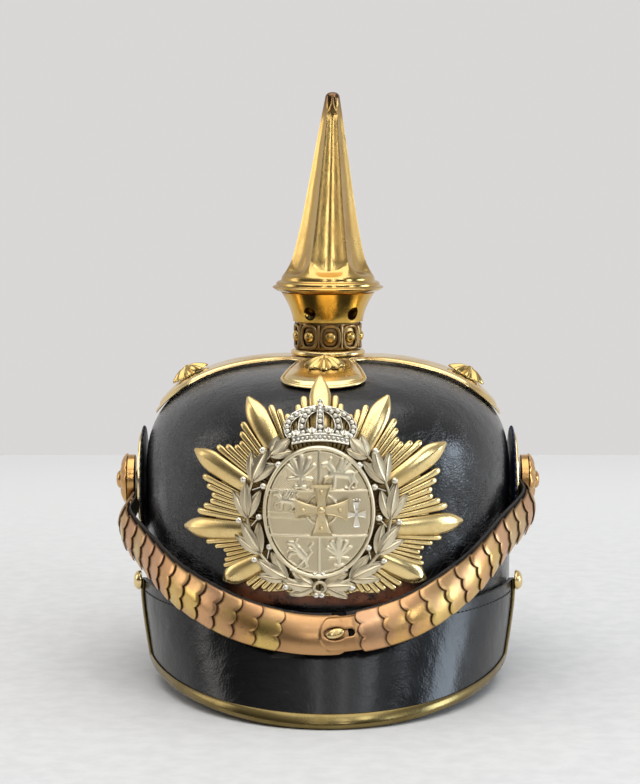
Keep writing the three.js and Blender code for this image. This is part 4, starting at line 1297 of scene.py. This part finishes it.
def cockade(side):
    rows = [(0, 0), (27.4, 0), (28, 0.5), (27.9, 1.0), (27.2, 1.3), (25.4, 1.45), (22, 1.35), (18, 1.2)]

    def place(angle, row):
        r, x = row
        pleat = abs(sin(angle * 20))
        toothed = ease(r, 25, 28)
        lift = 0.15 * (1 - pleat) * ease(r, 12, 20) if x else 0.0
        return sideways(side, angle, r - (1 - pleat) * toothed, COCKADE_X + x + lift)

    return turned(240, rows + [(12, 1.2), (0, 1.2)], place)


def cockade_ring(side):
    rows = [(20.5, 1.3), (20.5, 2.0), (20.9, 2.5), (21.6, 2.6), (23.5, 2.6), (24.2, 2.5), (24.6, 2.0)]
    rows += [(24.6, 1.3), (20.5, 1.3)]
    return turned(72, rows, lambda angle, row: sideways(side, angle, row[0], COCKADE_X + row[1]))


def rosette(side):
    drum = [(0, 0), (0.92, 0), (0.95, 0.03), (0.95, 0.36), (0.97, 0.39), (1.0, 0.42), (1.0, 0.46)]
    dome = [(0.97, 0.5), (0.92, 0.55), (0.85, 0.61), (0.76, 0.67), (0.66, 0.715), (0.56, 0.74), (0.47, 0.75)]
    knob = [(0.4, 0.745), (0.35, 0.76), (0.34, 0.82), (0.31, 0.89), (0.25, 0.95), (0.17, 0.985)]
    knob += [(0.08, 1.0), (0, 1.0)]

    def place(angle, row):
        share, level = row
        lobe = abs(cos(angle * 4))
        ribbed = ease(level, 0.4, 0.5) * ease(share, 0.42, 0.6)
        r = 13.5 * share * (1 - 0.07 * (1 - lobe) * ribbed)
        lift = 0.55 * (lobe - 0.6) * ribbed * ease(share, 1.0, 0.85)
        return sideways(side, angle, r, ROSETTE_X + level * 10 + lift)

    return turned(96, drum + dome + knob, place)


# The chin strap's route, from the front middle up to each boss, and the places along it
LEFT_ROUTE = [(35, -116.3, 43.9), (68.5, -89.5, 54.6), (90.5, -52, 67), (102.9, -22, 77.4)]
LEFT_ROUTE += [(ROSETTE_X - 0.3, -10.8, 87.2), (ROSETTE_X, SIDE_Y, SIDE_Z)]
RIGHT_ROUTE = [(35, -116.3, 46.4), (66.5, -91.2, 61), (87.5, -57.5, 76.5), (101.4, -26, 86.4)]
RIGHT_ROUTE += [(ROSETTE_X - 0.2, -13.8, 91), (ROSETTE_X, SIDE_Y, SIDE_Z)]
KNOTS = [Vector((-x, y, z)) for x, y, z in reversed(LEFT_ROUTE)] + [Vector((0, -124.2, 40.6))]
KNOTS += [Vector(knot) for knot in RIGHT_ROUTE]


def route_point(t):
    """The smooth line through the knots, paced by the root of their distances."""
    last = len(KNOTS) - 1
    t = min(max(t, 0.0), 1.0)
    i = min(int(t * last), last - 1)
    w = t * last - i
    b, c = KNOTS[i], KNOTS[i + 1]
    a = KNOTS[i - 1] if i else 2 * b - c
    d = KNOTS[i + 2] if i + 2 <= last else 2 * c - b
    before, span, after = [sqrt((q - p).length) for p, q in ((a, b), (b, c), (c, d))]
    start = ((b - a) / before - (c - a) / (before + span) + (c - b) / span) * span
    end = ((c - b) / span - (d - b) / (span + after) + (d - c) / after) * span
    return b + w * (start + w * (3 * (c - b) - 2 * start - end + w * (start + end - 2 * (c - b))))


STEPS = 600
WALKED = walked([route_point(step / STEPS) for step in range(STEPS + 1)])
CHIN_LENGTH = WALKED[-1]
LEFT_CHIN = WALKED[STEPS // 2]
CHIN = {-1: LEFT_CHIN, 1: CHIN_LENGTH - LEFT_CHIN}
SCALE_HALF = 9.8
SCALE_COUNT = 13
ROW_START = 14.7
PLATE_HALF = 9.4
PLATE_START = -24.6
PLATE_END = 9
TONGUE_HALF = 8.4
TONGUE_TIP = -4.5
TONGUE_ROOT = 16.6
BUTTON_AT = 3


def strap_point(along, up, out):
    """A point by the strap: along from the front middle, up across its width, out from its face."""
    want = min(max(along + LEFT_CHIN, 0.0), CHIN_LENGTH)
    step = min(bisect_right(WALKED, want), STEPS) - 1
    t = (step + (want - WALKED[step]) / (WALKED[step + 1] - WALKED[step])) / STEPS
    at = route_point(t)
    tangent = (route_point(t + 1e-4) - route_point(t - 1e-4)).normalized()
    lean = radians(20) * (1 - ease(abs(along), 10, CHIN_LENGTH * 0.31))
    outward = Vector((at.x / HALF_WIDTH**2, at.y / HALF_LENGTH**2, 0)).normalized() * cos(lean)
    outward.z = sin(lean)
    upward = outward.cross(tangent).normalized()
    return at + upward * up + tangent.cross(upward) * out


def arched(up):
    return 2.6 * (1 - (up / SCALE_HALF) ** 2)


def round_end(s, depth):
    return depth * (1 - sqrt(max(0.0, 1 - s**2)))


def strap(side, end):
    def place(s, v, w):
        along = side * mix(end, CHIN[side], v)
        near_boss = ease(abs(along), CHIN[side] - 16, CHIN[side] - 2)
        up = mix(-8, mix(10.6, 8, near_boss), (s + 1) / 2)
        fray = 0.25 * noise.noise(Vector((along / 3, up / 3, 0)))
        edge = ease(abs(s), 0.86, 1.0)
        depth = (1.75 - 0.45 * edge) if w else (0.05 + 0.45 * edge)
        return strap_point(along, up + fray * edge, -GAP - depth)

    return slab(12, 120, place)


def chin_scale(side, number, row_end):
    pitch = (CHIN[side] - ROW_START - row_end) / SCALE_COUNT
    start = CHIN[side] - ROW_START - (number - 1) * pitch

    def place(s, v, w):
        up = s * SCALE_HALF
        inward = v * (pitch + 1.6 + 2 * abs(sin(1.5 * pi * (s + 1))) ** 0.75)
        thick = 0.7 - 0.35 * ease(v, 0.93, 1.0) - 0.25 * ease(abs(s), 0.93, 1.0)
        return strap_point(side * (start - inward), up, arched(up) + 1.15 * inward / pitch + w * thick)

    return slab(36, 10, place)


def chin_end_plate():
    def place(s, v, w):
        up = s * PLATE_HALF
        thick = 0.7 - 0.25 * ease(abs(s), 0.9, 1.0)
        return strap_point(mix(PLATE_START, PLATE_END - round_end(s, 5), v), up, arched(up) + w * thick)

    return slab(24, 36, place)


def keyhole(along, up):
    """Distance outside the slot that the button goes through."""
    hole = (hypot((along - BUTTON_AT) / 5.2, up / 3.2) - 1) * 3.2
    slot = hypot(along - min(max(along, BUTTON_AT), 10.1), up) - 1.9
    return min(hole, slot)


def chin_tongue():
    """The slotted tongue: cut out flat as (along, up), fitted to the slot, then laid over the end plate."""

    def tip(s):
        return TONGUE_TIP + round_end(s, 6)

    def flat(u, v):
        s = 2 * v - 1
        return Vector((mix(tip(s), TONGUE_ROOT, u), s * TONGUE_HALF, 0))

    bm = grid(64, 48, flat)
    cut = [face for face in bm.faces if keyhole(*face.calc_center_median().xy) < 0]
    bmesh.ops.delete(bm, geom=cut, context="FACES")
    for vert in bm.verts:
        if vert.is_boundary and abs(keyhole(*vert.co.xy)) < 0.7:
            for _ in range(3):
                x, y = vert.co.xy
                gap = keyhole(x, y)
                slope = Vector((keyhole(x + 0.01, y) - gap, keyhole(x, y + 0.01) - gap)) / 0.01
                vert.co.xy -= slope * gap / max(slope.length_squared, 0.1)
    front = set(raised_copy(bm))
    for vert in bm.verts:
        along, up = vert.co.xy
        out = (0.7 + GAP) * (1 - ease(along, 10, 14.6))
        inside = min(TONGUE_HALF - abs(up), along - tip(up / TONGUE_HALF))
        lip = 0.25 * ease(keyhole(along, up), 0.5, 0.0) + 0.5 * ease(inside, 1.2, 0.0)
        vert.co = strap_point(along, up, arched(up) + out + (1.0 - lip if vert in front else 0.0))
    return close(bm)


def chin_button():
    rows = [(0, 1.05), (1.3, 1.05), (1.3, 1.75), (2.3, 1.8), (2.4, 2.1), (2.35, 2.5), (2.1, 2.9)]
    tilt = radians(14)

    def place(angle, row):
        r, level = row
        x, y = r * 1.75 * sin(angle), r * cos(angle)
        along = BUTTON_AT + x * cos(tilt) - y * sin(tilt)
        return strap_point(along, x * sin(tilt) + y * cos(tilt), 2.6 + level)

    return turned(40, rows + [(1.6, 3.25), (0.9, 3.42), (0, 3.45)], place)


# Each side: its disc, where strap and scales end by the front middle, and the scales' tints from the boss
SIDES = [
    ("left", -1, BLACK_DISC, -2, 25, "ttrtrroyyryoy"),
    ("right", 1, BLUE_DISC, 10, 17, "trttryoyyyoor"),
]
for name, side, disc, strap_end, row_end, tints in SIDES:
    make("cockade_" + name, cockade(side), disc)
    make("cockade_ring_" + name, cockade_ring(side), BRASS, extra=True)
    make("rosette_" + name, rosette(side), BOSS_BRASS)
    make("strap_" + name, strap(side, strap_end), STRAP_LEATHER)
    for number, tint in enumerate(tints, 1):
        make(f"chin_scale_{name}_{number:02d}", chin_scale(side, number, row_end), SCALE_METALS[tint])
make("chin_end_plate", chin_end_plate(), COPPERY)
make("chin_tongue", chin_tongue(), COPPERY)
make("chin_button", chin_button(), BRASS)

# The table, in metres, and the camera
floor = grid(4, 4, lambda u, v: Vector((mix(-4, 4, u), mix(-4, 0.81, v), 0)))
table = meshed("table", floor, table_white("white_table"))
camera = show("camera", bpy.data.cameras.new("camera"))
camera.data.lens = 106.9
camera.data.sensor_width = 36
camera.location = (-0.0041, -1.2, 0.2715)
camera.rotation_euler = (radians(90 - 6.145), 0, 0)
bpy.context.scene.camera = camera

# Lights: place, height of the target on the axis, size, power and colour
LIGHTS = {
    "overhead": ((0.0, -0.1, 1.5), 0.1, (1.8, 1.5), 15, (1.0, 0.99, 0.97)),
    "left_window": ((-1.5, 0.1, 0.6), 0.12, (0.5, 0.8), 3, (1.0, 0.97, 0.93)),
    "right_window": ((1.5, 0.0, 0.32), 0.1, (0.5, 0.6), 7, (0.74, 0.86, 1.0)),
    "front_left": ((-0.28, -1.75, 0.8), 0.1, (0.16, 0.5), 1.3, (1.0, 0.98, 0.95)),
    "front_right": ((0.42, -1.75, 0.8), 0.1, (0.16, 0.5), 1.3, (0.96, 0.98, 1.0)),
    "high_left": ((-0.2, -1.2, 1.3), 0.1, (0.1, 0.5), 0.9, (0.95, 0.97, 1.0)),
    "high_middle": ((0.3, -1.2, 1.3), 0.1, (0.12, 0.5), 1.1, (0.95, 0.97, 1.0)),
    "high_right": ((0.72, -1.0, 1.25), 0.1, (0.25, 0.4), 1.8, (0.9, 0.95, 1.0)),
    "far_right": ((1.45, -1.0, 0.75), 0.1, (0.3, 0.6), 3, (0.82, 0.9, 1.0)),
}
for name, (at, target, size, power, colour) in LIGHTS.items():
    lamp = bpy.data.lights.new(name, "AREA")
    lamp.shape = "RECTANGLE"
    lamp.size, lamp.size_y = size
    lamp.energy = power
    lamp.color = colour
    light = show(name, lamp)
    light.location = at
    light.rotation_euler = (Vector((0, 0, target)) - Vector(at)).to_track_quat("-Z", "Y").to_euler()


def studio(world):
    """A pale wall behind the table, a dim room in front of it and a lighter ceiling."""
    f = Finish(world, None, "Background")
    _, deep, high = f.parts(f.node("TexCoord", {}, {}, output=0))
    room = f.blend(f.rise(deep, -0.1, 0.45), (0.075, 0.07, 0.066), (0.695, 0.68, 0.675))
    f.shade(Color=f.blend(f.rise(high, 0.3, 0.8), room, (0.45, 0.45, 0.45)))


bpy.context.scene.world = bpy.data.worlds.new("studio")
studio(bpy.context.scene.world)
bpy.context.scene.view_settings.view_transform = "Standard"
